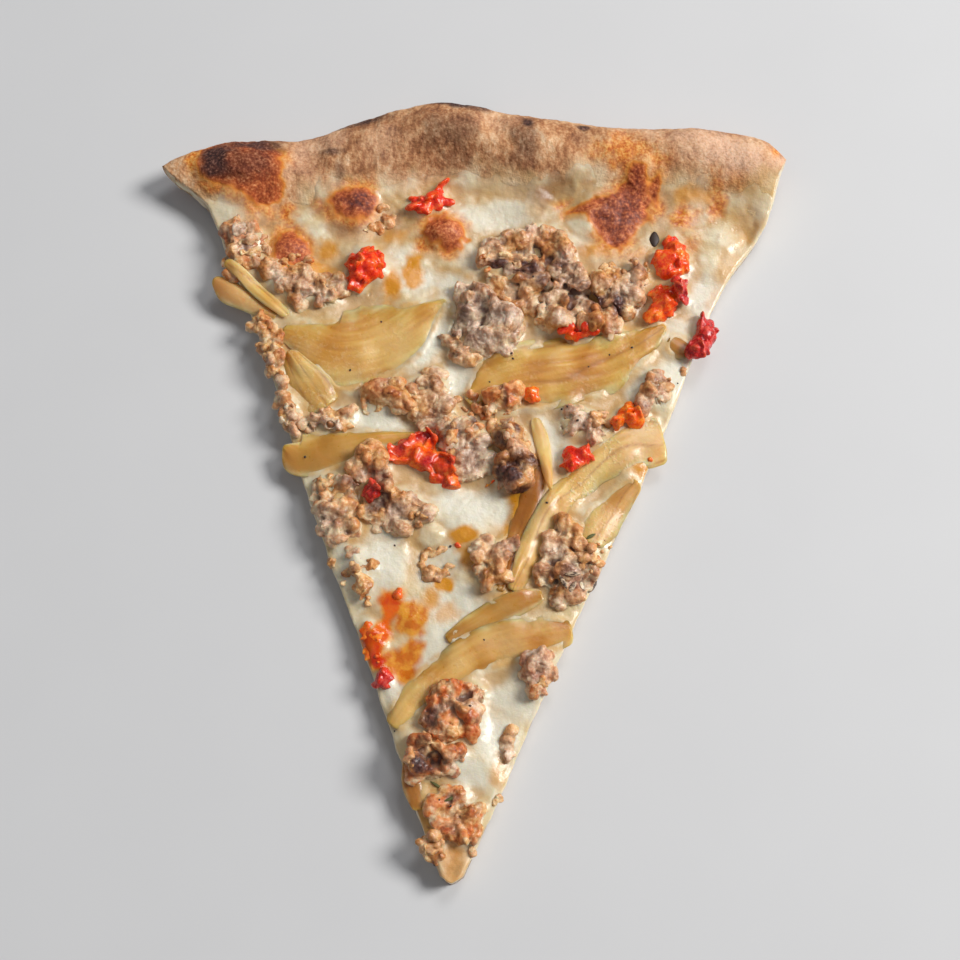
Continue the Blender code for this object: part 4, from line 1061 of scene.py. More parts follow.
FINE = 0.55                 # cell of the surfaces that show
HIDDEN = 6.0                # cell of those that don't
SOLE_CELL = 2.6             # cell of the underside
FEWEST_CELLS = 4
DOUGH_WALL = 9              # cells up the cut side of the dough
CHEESE_WALL = 6             # and of the cheese
RIM_EDGE = 9.0              # the dough comes up this far inside the cheese's end
FLAT_REACH = RIM[0][1] - RIM_TOE            # end of the flat part, at the left corner
# Rows of the dough's upper side over the rim, and of the cheese's.
CLIMB_ROWS = 14
CREST_ROWS = 42
ROUND_ROWS = 52
CHEESE_CLIMB_ROWS = 44


def cells(width, cell):
    return max(FEWEST_CELLS, round(width / cell))


def row_cells(stage, above, below):
    """Number of cells in a row of the upper and the lower side."""
    kind, part = stage
    radius = mix(TIP_RADIUS, FLAT_REACH, part) if kind == "flat" else RIM[0][1]
    width = 2.0 * radius * math.sin(math.radians(RIGHT_CUT))
    return cells(width, above), cells(width, below)


def flat_rows():
    """Rows of the flat part from the tip on: kind and how far along."""
    count = round((FLAT_REACH - TIP_RADIUS) / FINE)
    return [("flat", k / count) for k in range(count)]


LEAST_CLIMB = 2.0
COVER_FADE = 4.0            # the dough comes up to the surface over this distance


def dough_stages():
    """Rows of the dough from the tip to under the rim: kind and how far along."""
    stages = flat_rows()
    stages += [("climb", k / CLIMB_ROWS) for k in range(CLIMB_ROWS)]
    stages += [("crest", k / CREST_ROWS) for k in range(CREST_ROWS)]
    stages += [("round", 90.0 - 180.0 * k / ROUND_ROWS) for k in range(ROUND_ROWS + 1)]
    return stages


def rim_round(across, degrees):
    """Row of points round the rim, from its crest (90) to its underside (-90)."""
    outer, height, crest, _ = rim_at(across)
    turn = math.radians(degrees)
    widest = RIM_WIDEST * height
    if degrees >= 0:
        radius = outer - crest + crest * math.cos(turn)
        z = widest + (height + relief(*flat_place(across, radius)) - widest) * math.sin(turn)
    else:
        radius = outer - crest + crest * max(0.0, math.cos(turn)) ** RIM_UNDER
        z = widest * (1.0 + math.sin(turn))
    return place(across, radius, z)


def dough_top(stage, across):
    """Row of points of the dough's upper side, which dips under the cheese."""
    kind, part = stage
    if kind == "round":
        return rim_round(across, part)
    outer, _, crest, end = rim_at(across)
    toe = outer - RIM_TOE
    if kind == "flat":
        return place(across, mix(tip_radius(across), toe, part), np.full_like(across, DOUGH_TOP))
    start = outer - np.minimum(end + RIM_EDGE, RIM_TOE - LEAST_CLIMB)
    radius = mix(toe, start, part) if kind == "climb" else mix(start, outer - crest, part)
    cover = mix(CHEESE_TOP - DOUGH_TOP, 0.0, blend(start, start + COVER_FADE, radius))
    return place(across, radius, skin(across, radius) - cover)


def bake_dough(points, sides, masks):
    """How far each point of the dough moves outward: skin, pores in the cuts, dents below."""
    rough = layered(points, SKIN_LAYERS) * (1.0 + 0.8 * masks["brown"])
    rough = rough * (masks["toast"] + masks["brown"]).clip(0.2, 1.0)
    rough = rough * blend(DOUGH_TOP, CHEESE_TOP, points[:, 2])
    pores = (0.28 * noise(points, 3.5, 44) - 0.9 * blend(0.1, 0.6, noise(points, (2.2, 2.2, 1.3), 45))
             - 0.4 * blend(0.2, 0.7, noise(points, 0.9, 46)))
    sole = -0.25 * blend(0.1, 0.8, noise(points, 7.0, 47))
    return np.choose(sides.astype(int), (rough, pores, sole))


def make_dough(finish):
    stages = dough_stages()
    last = len(stages) - 1
    flat_count = len(flat_rows())

    def top_at(number, across):
        return dough_top(stages[number], across)

    def bottom_at(number, across):
        outer, _, crest, _ = rim_at(across)
        toe = outer - RIM_TOE
        if number < flat_count:
            radius = mix(tip_radius(across), toe, stages[number][1])
        else:
            radius = mix(toe, outer - crest, (number - flat_count) / (last - flat_count))
        return place(across, radius, np.zeros_like(across))

    counts = [row_cells(stage, FINE if stage[0] in ("crest", "round") else HIDDEN, SOLE_CELL)
              for stage in stages]
    points, sides, faces = sheet_body(counts, top_at, bottom_at, DOUGH_WALL)
    masks = bake_masks(points, sides)
    points = points + normals(points, faces) * bake_dough(points, sides, masks)[:, None]
    points[:, 2] = np.maximum(points[:, 2], 0.0)
    add_piece("crust", points, faces, finish, "crust", masks, ("dough",))
    return points, faces


MEAT_SWELL = 1.9            # height that the cheese climbs round the meat
ONION_SWELL = 0.8           # and round the onion
CHEESE_SUNK = 0.35          # depth of the cheese's underside in the dough
CHEESE_OVERRUN = 6.0        # its last row lies this far past its end, under the crust


def cheese_top(across, radius):
    """Row of points of the cheese's upper side, with its lumps, climbing round toppings."""
    x, y = flat_place(across, radius)
    at = flat(x, y)
    calm = 1.0 - blend(-0.4, 0.3, -film(across, radius))
    edge = 1.0 - blend(0.965, 1.0, np.abs(across))
    swell = MEAT_SWELL * read_chart(BESIDE, x, y)
    swell = swell + (ONION_SWELL + 0.7 * noise(at, 5.0, 54)) * read_chart(HUGGING, x, y)
    lumps = layered(at, CHEESE_LAYERS) * mix(1.0, 0.35, painted("white", x, y))
    z = skin(across, radius) + film(across, radius) + (lumps + swell) * calm * mix(0.3, 1.0, edge)
    return place(across, radius, np.minimum(z, read_chart(CEILING, x, y)))


def cheese_bottom(across, radius):
    """Row of points of its lower side, sunk a little into the dough."""
    drips = 0.5 * noise(flat(*flat_place(across, radius)), 5.0, 54)
    return place(across, radius, slope(across, radius) - CHEESE_TOP + DOUGH_TOP - CHEESE_SUNK + drips)


def ripple_cheese(points, sides, masks):
    """How far each point of the cheese moves outward: bubbly where browned, bulging at the cuts."""
    grainy = limit(masks["brown"] + 0.7 * masks["orange"])
    bumps = layered(points, BLISTER_LAYERS) * grainy + 0.06 * noise(points, 1.1, 58)
    bulge = layered(points, BULGE_LAYERS, 0.3) * blend(8.0, 24.0, points[:, 1])
    return np.choose(sides.astype(int), (bumps, bulge, 0.0 * bumps))


def make_cheese(finish):
    stages = flat_rows() + [("climb", k / CHEESE_CLIMB_ROWS) for k in range(CHEESE_CLIMB_ROWS + 1)]

    def radius_at(number, across):
        kind, part = stages[number]
        toe = rim_at(across)[0] - RIM_TOE
        if kind == "flat":
            return mix(tip_radius(across), toe, part)
        return mix(toe, cheese_end(across) + CHEESE_OVERRUN, part)

    def top_at(number, across):
        return cheese_top(across, radius_at(number, across))

    def bottom_at(number, across):
        return cheese_bottom(across, radius_at(number, across))

    counts = [row_cells(stage, FINE, HIDDEN) for stage in stages]
    points, sides, faces = sheet_body(counts, top_at, bottom_at, CHEESE_WALL)
    masks = bake_masks(points, sides)
    # darker, more golden colour in the cheese's hollows
    masks["hollow"] = blend(-0.1, 0.35, hollowness(points, faces, 60))
    points = points + normals(points, faces) * ripple_cheese(points, sides, masks)[:, None]
    add_piece("melted_cheese", points, faces, finish, "cheese", masks, ("cheese",))
    return points, faces


# ------------------------------------------------------------------------ toppings

def ball():
    """Points and triangles of a small round blob."""
    work = bmesh.new()
    bmesh.ops.create_icosphere(work, subdivisions=3, radius=1.0)
    points = np.array([vertex.co[:] for vertex in work.verts])
    faces = np.array([[vertex.index for vertex in face.verts] for face in work.faces])
    work.free()
    return points, faces


BALL = ball()


CRUMB_EDGE = 7.0
PLANES = 10                 # that cut a crumb
OVERHANG = -0.3             # faces that look farther down than this hold no crumbs


def chunk(centre, radius, rng, edge=CRUMB_EDGE):
    """Crumb: a ball cut by random planes; the higher edge is, the sharper its edges are."""
    points, faces = BALL
    planes = rng.normal(size=(PLANES, 3))
    planes = planes / np.linalg.norm(planes, axis=1, keepdims=True)
    lean = np.maximum(points @ planes.T, 0.05) / rng.uniform(0.7, 1.1, PLANES)
    size = np.minimum((lean ** edge).sum(axis=1) ** (-1.0 / edge), 1.35)
    squeeze = rng.uniform(0.7, 1.3, 3)
    return points * size[:, None] * squeeze * radius + centre, faces


def billow(points, size, seed):
    """Rounded lumps 0..1 parted by creases."""
    return np.abs(noise(points + 0.3 * size * noise(points, size, seed + 7)[:, None], size, seed))


def scattered(points, faces, spacing, rng):
    """Places at least a spacing apart on the upper and side faces of a solid."""
    corner = points[faces]
    cross = face_normals(points, faces)
    area = np.linalg.norm(cross, axis=1)
    area = np.where(cross[:, 2] > OVERHANG * area, area, 0.0)
    tries = int(6 * area.sum() / spacing ** 2)
    chosen = rng.choice(len(faces), tries, p=area / area.sum())
    u = np.sqrt(rng.uniform(size=(tries, 1)))
    v = rng.uniform(size=(tries, 1))
    spots = (corner[chosen, 0] * (1 - u) + corner[chosen, 1] * u * (1 - v) + corner[chosen, 2] * u * v)
    kept = np.empty((0, 3))
    found = []
    for spot, number in zip(spots, chosen):
        if np.all(((kept - spot) ** 2).sum(axis=1) > spacing ** 2):
            kept = np.vstack([kept, spot])
            found.append((spot, cross[number] / area[number]))
    return found


# Look of each clump, in the order of their nodes: size of its lumps, then how grey,
# rusty and burnt it is (0..1).
MEAT = (
    (1.5, 0.2, 0.6, 0), (1.5, 0.1, 0.1, 0), (1.4, 0.1, 0.3, 0), (1.5, 0.2, 0.2, 0), (1.5, 0.2, 0, 0),
    (2.2, 0.3, 0.5, 0), (1.7, 0.5, 0, 0), (2, 0, 0.4, 0), (1.5, 0.5, 0.2, 0), (1.3, 0.2, 0.2, 0),
    (1.5, 0.5, 0, 0), (2, 0.4, 0.2, 0.2), (1.9, 0.4, 0, 0), (3, 1, 0, 0), (1.6, 0.4, 0.1, 0.1),
    (2, 0.4, 0, 0), (2, 0.5, 0.1, 0.2), (1.8, 0.3, 0.3, 0), (1.6, 0, 0.8, 0), (1.8, 0.5, 0, 0.1),
    (2.2, 0.1, 0.2, 1), (1.6, 1, 0, 0), (1.6, 0.4, 0.2, 0), (1.7, 0.3, 0.2, 0), (1.6, 0.2, 0.2, 0),
    (1.7, 0.1, 1, 0.1), (1.5, 0.1, 0.8, 0.5), (1.8, 0.7, 0.3, 0), (1.8, 0, 0.9, 0.1), (1.3, 0.1, 0, 0.1),
)
MEAT_CELL = 0.38
MEAT_SEED = 700
LARGE_SHARE = 0.6           # of a clump's crumbs
CORE_INSET = 0.35           # that the crumbs' core lies inside its solid
# Layers of noise on a clump: height, size and what is added to the clump's seed.
MINCE_LAYERS = ((0.55, 3.4, 0), (0.3, 1.5, 1), (0.15, 0.9, 2))


def tone_near(points, centres, tones):
    """For each point the value of the centre that is nearest to it."""
    tree = KDTree(len(centres))
    for number, centre in enumerate(centres):
        tree.insert(centre, number)
    tree.balance()
    return np.array([tones[tree.find(point)[1]] for point in points])


def mince(parts, centres, seed, rng):
    """Skin of a heap of crumbs, with masks for each crumb's tone, its hollows (painted shade) and its
    ridges (partly painted light).
    """
    points, faces = skin_round(parts, MEAT_CELL)
    crease = 1.0 - blend(0.0, 0.22, billow(points, 2.4, seed + 3))
    layers = [(height, size, seed + extra) for height, size, extra in MINCE_LAYERS]
    rough = layered(points, layers) - 0.25 * crease
    points = points + normals(points, faces) * rough[:, None]
    tone = tone_near(points, centres, rng.uniform(0.0, 1.0, len(centres)))
    tone = smooth(tone[:, None], faces, 3)[:, 0]
    # painted shade: the deeper a point lies in a hollow, the darker it is painted
    pit_shade = np.maximum(0.6 * blend(0.08, 0.4, hollowness(points, faces, 6)),
                     blend(0.25, 1.05, hollowness(points, faces, 70)))
    # convex ridges, lightened in colour: painted light, on the meat partly browning too
    ridge = blend(0.1, 0.5, -hollowness(points, faces, 12))
    return points, faces, {"tone": tone, "pit_shade": pit_shade, "ridge": ridge}


def make_meat(number, look, finish):
    lump, grey, rust, burnt = look
    rng = np.random.default_rng(MEAT_SEED + number)
    name = "sausage_%02d" % (number + 1)
    core, core_faces = solid(name)
    parts = [(core - CORE_INSET * normals(core, core_faces), core_faces)]
    centres = []
    for spot, outward in scattered(core, core_faces, 1.5 * lump, rng):
        large = rng.uniform() < LARGE_SHARE
        radius = lump * (rng.uniform(1.1, 1.8) if large else rng.triangular(0.35, 0.6, 0.95))
        centres.append(spot - outward * radius * rng.uniform(0.45, 0.95))
        parts.append(chunk(centres[-1], radius, rng))
    points, faces, masks = mince(parts, centres, 60 + 3 * number, rng)
    low = core[:, 2].min()
    points[:, 2] = np.maximum(points[:, 2], low)
    height = (points[:, 2] - low) / (core[:, 2].max() - low)
    charred = burnt * blend(0.0, 0.7, noise(points, 4.5, 90 + number))
    masks.update({
        "film": 1.0 - blend(0.3, 0.75, height + 0.4 * noise(points, 3.0, 95 + number)),
        "grey": limit(grey + 0.05 + 0.9 * noise(points, 5.0, 96 + number)),
        "rust": np.full(len(points), rust),
        # real char from the clump's look, and the patches of painted shade in its hollows
        "char_and_shade": np.maximum(charred, painted("char_and_shade", points[:, 0], points[:, 1])),
    })
    add_piece("meat_%02d" % (number + 1), points, faces, finish, "sausage", masks, (name,))
    return points, faces


PEPPER_CELL = 0.36
PEPPER_SEED = 800
CHILI_EDGE = 10.0           # sharpness of the flakes' edges
CHILI_FLAT = 0.6            # share of a flake's thickness that is pressed out
CHILI_SPACING = 2.2
CHILI_INSET = 0.3
# Share of crimson and of orange in each bit, in the order of their nodes, and how
# crumpled it is.
PEPPER = (
    (0.2, 0.2, 1), (0, 0.25, 1.2), (0.6, 0.4, 1), (0.8, 0, 0.8), (0.3, 0.3, 1), (0.1, 0.4, 1),
    (0.1, 0.5, 1), (0.7, 0, 1), (1, 0.1, 0.6), (0, 1, 1), (0.2, 0.1, 0.6), (0.8, 0, 1), (0, 0.8, 0.4),
    (0, 1, 0.2),
)


def tinted(share, patch):
    """Mask of a colour that covers a share of a bit, in patches."""
    return limit(1.6 * share - 0.3 + 0.6 * patch) * min(1.0, 3.0 * share)


def make_pepper(number, look, finish):
    crimson, orange, crumpled = look
    rng = np.random.default_rng(PEPPER_SEED + number)
    name = "pepper_%02d" % (number + 1)
    core, core_faces = solid(name)
    parts = [(core - CHILI_INSET * normals(core, core_faces), core_faces)]
    for spot, outward in scattered(core, core_faces, CHILI_SPACING, rng):
        radius = rng.uniform(1.1, 2.1) * min(1.0, 0.4 + 0.6 * crumpled)
        facing = outward + 0.35 * rng.normal(size=3)
        facing = facing / np.linalg.norm(facing)
        flake, flake_faces = chunk(np.zeros(3), radius, rng, CHILI_EDGE)
        flake = flake - CHILI_FLAT * (flake @ facing)[:, None] * facing
        parts.append((flake + spot - 0.5 * outward, flake_faces))
    points, faces = skin_round(parts, PEPPER_CELL)
    fold = 0.3 * billow(points, 3.2, 130 + number) - 0.1
    points = points + normals(points, faces) * (crumpled * fold)[:, None]
    points = mix(points, smooth(points, faces, 1), 0.4)
    patch = noise(points, 4.0, 170 + number)
    masks = {
        # painted shade in the hollows
        "pit_shade": blend(0.12, 0.5, hollowness(points, faces, 10)),
        # painted light on the ridges
        "ridge": blend(0.12, 0.45, -hollowness(points, faces, 8)),
        "crimson": tinted(crimson, patch),
        "orange": tinted(orange, -patch),
    }
    add_piece("chili_%02d" % (number + 1), points, faces, finish, "pepper", masks, (name,))


# Look of each strip, in the order of their nodes: how deep, olive, bright and frosty it
# is (0..1), height of its ridges, depth of the seams between its layers and their number.
# The frost's paler specks are partly painted glints.
ONION_LOOK = (
    (0.8, 0, 0.2, 0.2, 0.07, 0, 1), (0, 0.1, 0.15, 0.3, 0.07, 0, 1), (0.2, 0, 0.1, 0.5, 0.16, 0.16, 3),
    (0.2, 0.6, 0, 0, 0.07, 0, 1), (0, 0.15, 0, 0.2, 0.12, 0.16, 2), (0.8, 0.3, 0, 0, 0.07, 0, 1),
    (0.9, 0, 0, 0.1, 0.2, 0.15, 3), (0, 0, 0.35, 0.5, 0.07, 0.1, 2), (0, 0, 0.5, 0.9, 0.1, 0.1, 2),
    (0.2, 0, 0.2, 0.1, 0.07, 0, 1), (0.5, 0.3, 0, 0.1, 0.07, 0, 1), (0.2, 0, 0.15, 0.3, 0.07, 0, 1),
    (0.7, 0.1, 0, 0.1, 0.07, 0, 1), (0, 0, 0.3, 0.3, 0.07, 0.12, 1),
)
ONION_CELL = 0.5
ONION_THICK = 1.15
ONION_THIN = 0.3
END_ROUNDING = 1.6
FULL_DROP = 9.0             # width from which a strip's edges droop in full
ONION_HIGH = 8.0            # height from which the nearest place of a strip is looked for
ONION_SOFTENING = 10


def spread_evenly(grid, passes):
    """Grid of heights, smoothed along and across."""
    for _ in range(passes):
        padded = np.pad(grid, 1, mode="edge")
        grid = 0.5 * grid + 0.125 * (padded[:-2, 1:-1] + padded[2:, 1:-1]
                                     + padded[1:-1, :-2] + padded[1:-1, 2:])
    return grid


def grid_noise(x, y, seed, size=1.0):
    """Noise over a grid of places."""
    return noise(flat(x.ravel(), y.ravel()), size, seed).reshape(x.shape)


def strip_grid(number, line):
    """Grid over a strip: how far along, how far aside (-0.5..0.5), width, x, y, and its length."""
    steps = np.hypot(*np.diff(line[:, :2], axis=0).T)
    length = steps.sum()
    keyed = np.column_stack([np.concatenate([[0.0], np.cumsum(steps)]), line])
    along = np.linspace(0.0, length, round(length / ONION_CELL) + 1)
    x, y, width = curve_through(keyed, along)
    dx = np.gradient(x)
    dy = np.gradient(y)
    size = np.hypot(dx, dy)
    aside = np.linspace(-0.5, 0.5, round(line[:, 2].max() / ONION_CELL) + 1)
    s, t = np.meshgrid(along, aside, indexing="ij")
    width = width[:, None] * (1.0 + 0.1 * grid_noise(s / 6.0 + 40.0 * number, np.sign(t), 140))
    near_end = limit(np.minimum(s, length - s) / END_ROUNDING)
    width = width * mix(0.6, 1.0, np.sqrt(1.0 - (1.0 - near_end) ** 2))
    at_x = x[:, None] + t * width * (dy / size)[:, None]
    at_y = y[:, None] - t * width * (dx / size)[:, None]
    return s, t, width, at_x, at_y, length


def laid_on(tree, x, y):
    """Smoothed heights of a solid's upper side over a grid; beside it, of its nearest place."""
    top = np.empty(x.shape)
    for index in np.ndindex(x.shape):
        z = height_on(tree, x[index], y[index])
        if z is None:
            z = tree.find_nearest(Vector((x[index], y[index], ONION_HIGH)))[0].z
        top[index] = z
    return spread_evenly(top, ONION_SOFTENING)


def slab(upper, lower):
    """Closed body between two grids of points."""
    rows, columns = upper.shape[:2]
    total = rows * columns
    grid = np.arange(total).reshape(rows, columns)
    a = grid[:-1, :-1].ravel()
    b = grid[:-1, 1:].ravel()
    c = grid[1:, :-1].ravel()
    d = grid[1:, 1:].ravel()
    faces = np.concatenate([np.stack([a, b, c], 1), np.stack([b, d, c], 1)])
    rim = np.concatenate([grid[:-1, 0], grid[-1, :-1], grid[:0:-1, -1], grid[0, :0:-1]])
    after = np.roll(rim, -1)
    wall = np.concatenate([np.stack([rim, after, rim + total], 1),
                           np.stack([after, after + total, rim + total], 1)])
    points = np.concatenate([upper.reshape(-1, 3), lower.reshape(-1, 3)])
    return points, np.concatenate([faces, faces[:, ::-1] + total, wall])


def make_onion(number, line, finish):
    deep, olive, bright, frosty, ridge, seams, layers = ONION_LOOK[number]
    s, t, width, x, y, length = strip_grid(number, np.array(line, dtype=float))
    name = "onion_%02d" % (number + 1)
    top = laid_on(tree_of(*solid(name)), x, y)
    waver = 0.9 * grid_noise(s / 14.0 + 5.0 * number, t * width / 9.0, 144)
    leaf = np.abs(np.sin(math.pi * (t * layers + 0.35 * waver)))
    fibre_s = s / 11.0 + 17.0 * number
    fibre_t = t * width / 1.5
    ridges = grid_noise(fibre_s, fibre_t, 141)
    fine = grid_noise(1.6 * fibre_s, 3.0 * fibre_t, 142)
    curl = blend(0.0, 0.8, grid_noise(s / 8.0, np.sign(t) + number, 143))
    droop = 0.85 * np.minimum(1.0, width / FULL_DROP)
    top = top + ridge * ridges + 0.35 * ridge * fine + (0.4 * curl - droop) * (2.0 * np.abs(t)) ** 4
    top = top + seams * (leaf - 0.7) + 0.25 * grid_noise(x, y, 145, 5.5)
    thick = mix(ONION_THICK, ONION_THIN, (2.0 * t) ** 2)
    thick = thick * blend(-0.6, 2.5, s) * blend(-0.6, 2.5, length - s)
    points, faces = slab(np.stack([x, y, top], axis=-1), np.stack([x, y, top - thick], axis=-1))
    patch = noise(points, 7.0, 150 + number)

    def both(grid):
        return np.tile(grid.ravel(), 2)

    masks = {
        "fibre": both(limit(0.5 + 0.35 * ridges + 0.25 * fine)),
        "seam": both((seams > 0.0) * (1.0 - leaf) ** 5),
        # paler thin edges: painted light showing through the onion
        "thin_edge_light": both(blend(0.55, 1.0, 2.0 * np.abs(t) + 0.12 * ridges)),
        "deep": limit(deep + 0.35 * patch * (deep > 0)),
        "olive": limit(olive + 0.3 * patch * (olive > 0)),
        "bright": limit(bright - 0.4 * patch * (bright > 0)),
        # frosty patches: bumps and roughness, and painted glints in the colour
        "frost_and_glints": frosty * blend(-0.3, 0.4, noise(points, 8.0, 151 + number)),
    }
    add_piece("strip_%02d" % (number + 1), points, faces, finish, "onion", masks, (name,))
    return points, faces


# --------------------------------------------------------------------- small bits
# Each row: x, y, half length, half width, number of crumbs, size of a crumb.

MEAT_CRUMBS = (
    (-29, 199, 2.6, 4, 9, 1.3), (-32.5, 194, 3.4, 2.4, 6, 1), (-53.5, 182, 4, 3.2, 9, 1.1),
    (-67, 185.5, 5, 4, 14, 1.2), (-72, 193.5, 2.6, 3.4, 8, 1.2), (-62.5, 159.5, 2.2, 4.6, 9, 1.2),
    (-60, 152.5, 2, 4.4, 8, 1.2), (-57, 142.5, 1.8, 4.2, 7, 1.1), (-53, 134, 2.2, 3.6, 7, 1.1),
    (13.5, 44, 1.8, 5, 14, 1.3), (23, 57, 3, 4.6, 9, 1.1), (-8.5, 92, 4.2, 5, 20, 1.5),
    (-37, 79.5, 2, 3.6, 6, 1), (-38.5, 90.5, 2.2, 3.6, 7, 1.1), (-32, 86.5, 2.6, 2.6, 7, 1.2),
    (-27, 80, 2.2, 2.6, 6, 1), (-13.5, 103.5, 3, 2.4, 6, 1.1), (36.5, 135.5, 3.4, 3, 8, 1.2),
    (62.5, 151.5, 2.4, 2.8, 5, 0.9), (-1, 140, 3.6, 3, 9, 1.1), (-22.5, 142.5, 3.2, 2.4, 6, 1),
    (-4.5, 127.5, 3, 3.4, 8, 1.2), (34.5, 93.5, 3.6, 3.4, 8, 1.1), (38.5, 98, 2, 2.6, 5, 1),
    (-41, 114, 3, 2.6, 7, 1.1), (10.5, 27, 2, 3.4, 6, 1), (-6, 15, 2.6, 3, 8, 1.1),
    (4.5, 15.5, 2, 2.6, 5, 1), (-12.5, 36.5, 2.2, 3.4, 6, 1), (2.5, 134, 5, 5, 16, 1.3),
    (12, 130, 4, 4, 10, 1.2), (8, 184, 9, 3, 12, 1.1), (-42, 130, 6, 2.2, 12, 1.1),
    (53.5, 147, 3, 2.4, 6, 1.1), (39, 183, 4, 3, 8, 1.1), (47.5, 185, 3, 3, 6, 1),
    (41.5, 97, 1.8, 1.8, 4, 1.1),
)
CHILI_CRUMBS = (
    (-2, 96.5, 1.2, 1.2, 2, 0.9), (6, 115.5, 1.4, 1.4, 3, 0.8), (-18.5, 82.5, 1, 1, 2, 1.1),
    (-22.5, 63.5, 1.2, 1.4, 2, 0.8), (49, 112, 1.6, 2.6, 3, 0.6), (51, 122, 1.6, 3, 3, 0.6),
    (-11, 128.5, 1.6, 1.4, 3, 0.9), (57, 190, 3, 4, 5, 0.7),
)
PEPPER_SPECKS = (
    (10.5, 154.5), (11, 153.5), (45.5, 158.5), (25.5, 138.5), (27, 138.5), (4.5, 146), (59, 148.5),
    (-17, 44.5), (22, 109.5), (-4.5, 96.5), (-4, 26.5), (-1, 25), (-4.5, 10), (-36, 148), (-12, 118),
    (3, 51), (30, 134), (-20, 96), (-28, 164), (6, 70), (16, 178), (-47, 121), (33, 152), (39, 156),
)
# Seeds: x, y, turn.  Flakes and the chip: x, y, half length, half width, turn.
FENNEL = ((29.5, 88.5, 4), (27, 86.5, 118), (29.5, 85, 60))
SEED_HALVES = np.array((2.3, 0.7, 0.55))
HERBS = ((34.5, 100.5, 1.6, 0.5, 30), (-1, 27, 2.2, 0.45, 25), (-5, 30.5, 2, 0.4, -30))
BLACK_CHIP = (52, 194.5, 1.5, 2.6, 0)
SPECK_HALVES = np.array((1.2, 0.9, 0.6))    # times the size of a speck
FLAKE_THICK = 0.25
CHIP_THICK = 0.5
# Share of its half height that each kind of bit lies sunk in; below 0 it stands clear.
SPECK_SINK = 0.4
CHIP_SINK = 0.45
SEED_SINK = -0.4
FLAKE_SINK = -0.2
CRUMB_SINK = 0.15           # of a crumb's radius
CRUMB_SEED = 900
POD_SEED = 902


def shell_height(trees, x, y):
    """Height of the topmost of several surfaces at a place, or None beside them."""
    heights = [z for z in (height_on(tree, x, y) for tree in trees) if z is not None]
    return max(heights) if heights else None


def strewn(trees, rows, rng):
    """Crumbs strewn over the surfaces, a little sunk in, and their centres."""
    parts = []
    centres = []
    for cx, cy, length, width, count, size in rows:
        for _ in range(count):
            reach = math.sqrt(rng.uniform())
            turn = rng.uniform(0.0, 2.0 * math.pi)
            x = cx + length * reach * math.cos(turn)
            y = cy + width * reach * math.sin(turn)
            radius = size * rng.triangular(0.4, 0.8, 1.5)
            z = shell_height(trees, x, y)
            if z is not None:
                centres.append(np.array((x, y, z - CRUMB_SINK * radius)))
                parts.append(chunk(centres[-1], radius, rng))
    return parts, centres


def turned(points, degrees):
    """Flat places turned round the origin."""
    c = math.cos(math.radians(degrees))
    s = math.sin(math.radians(degrees))
    return np.stack([c * points[:, 0] - s * points[:, 1], s * points[:, 0] + c * points[:, 1]], axis=1)


def pod(trees, x, y, turn, halves, sink):
    """Long closed shape lying on the surfaces; halves are its half sizes."""
    points, faces = BALL
    shaped = points * (1.0 - 0.45 * points[:, :1] ** 2) ** np.array((0, 1, 1)) * halves
    z = shell_height(trees, x, y) + halves[2] * (1.0 - sink)
    return np.column_stack([turned(shaped, turn) + (x, y), shaped[:, 2] + z]), faces


def seed_finish():
    f = Finish("fennel seed", 0.5)
    stripes = f.noise(0.35, 2.0, stretch=(0.25, 1.0, 1.0))
    f.use("Base Color", f.ramp(stripes, (0.42, 70, 46, 34), (0.58, 206, 178, 146)))
    f.bump(stripes, 0.12)
    return f.material


def dark_finish():
    f = Finish("black pepper", 0.55)
    f.use("Base Color", f.mix(f.noise(0.5, 2.0), (24, 18, 16), (74, 54, 44)))
    return f.material


def herb_finish():
    f = Finish("dried herb", 0.6)
    f.use("Base Color", f.mix(f.noise(0.6, 2.0), (58, 66, 26), (112, 110, 58)))
    return f.material


def make_crumbs(trees, meat, chili):
    rng = np.random.default_rng(CRUMB_SEED)
    points, faces, masks = mince(*strewn(trees, MEAT_CRUMBS, rng), CRUMB_SEED, rng)
    none = np.zeros(len(points))
    patch = noise(points, 12.0, 97)
    masks.update({"film": none + 0.35, "char_and_shade": none,
                  "grey": blend(0.1, 0.8, patch), "rust": 0.8 * blend(0.0, 0.6, -patch)})
    add_piece("meat_crumbs", points, faces, meat, "sausage", masks)
    points, faces, masks = mince(*strewn(trees, CHILI_CRUMBS, rng), CRUMB_SEED + 1, rng)
    masks.update({"orange": blend(0.2, 0.5, masks["tone"]), "crimson": 0.0 * masks["tone"]})
    add_piece("chili_crumbs", points, faces, chili, "pepper", masks)


def make_pods(trees):
    rng = np.random.default_rng(POD_SEED)
    specks = []
    for x, y in PEPPER_SPECKS:
        turn = rng.uniform(0.0, 180.0)
        specks.append(pod(trees, x, y, turn, rng.uniform(0.22, 0.42) * SPECK_HALVES, SPECK_SINK))
    x, y, length, width, turn = BLACK_CHIP
    specks.append(pod(trees, x, y, turn, np.array((length, width, CHIP_THICK)), CHIP_SINK))
    add_piece("pepper_specks", *joined(specks), dark_finish(), "sausage")
    seeds = [pod(trees, x, y, turn, SEED_HALVES, SEED_SINK) for x, y, turn in FENNEL]
    add_piece("fennel_seeds", *joined(seeds), seed_finish(), "sausage")
    herbs = [pod(trees, x, y, turn, np.array((length, width, FLAKE_THICK)), FLAKE_SINK)
             for x, y, length, width, turn in HERBS]
    add_piece("herb_flakes", *joined(herbs), herb_finish(), "sausage")


# ------------------------------------------------------- floor, lights and camera

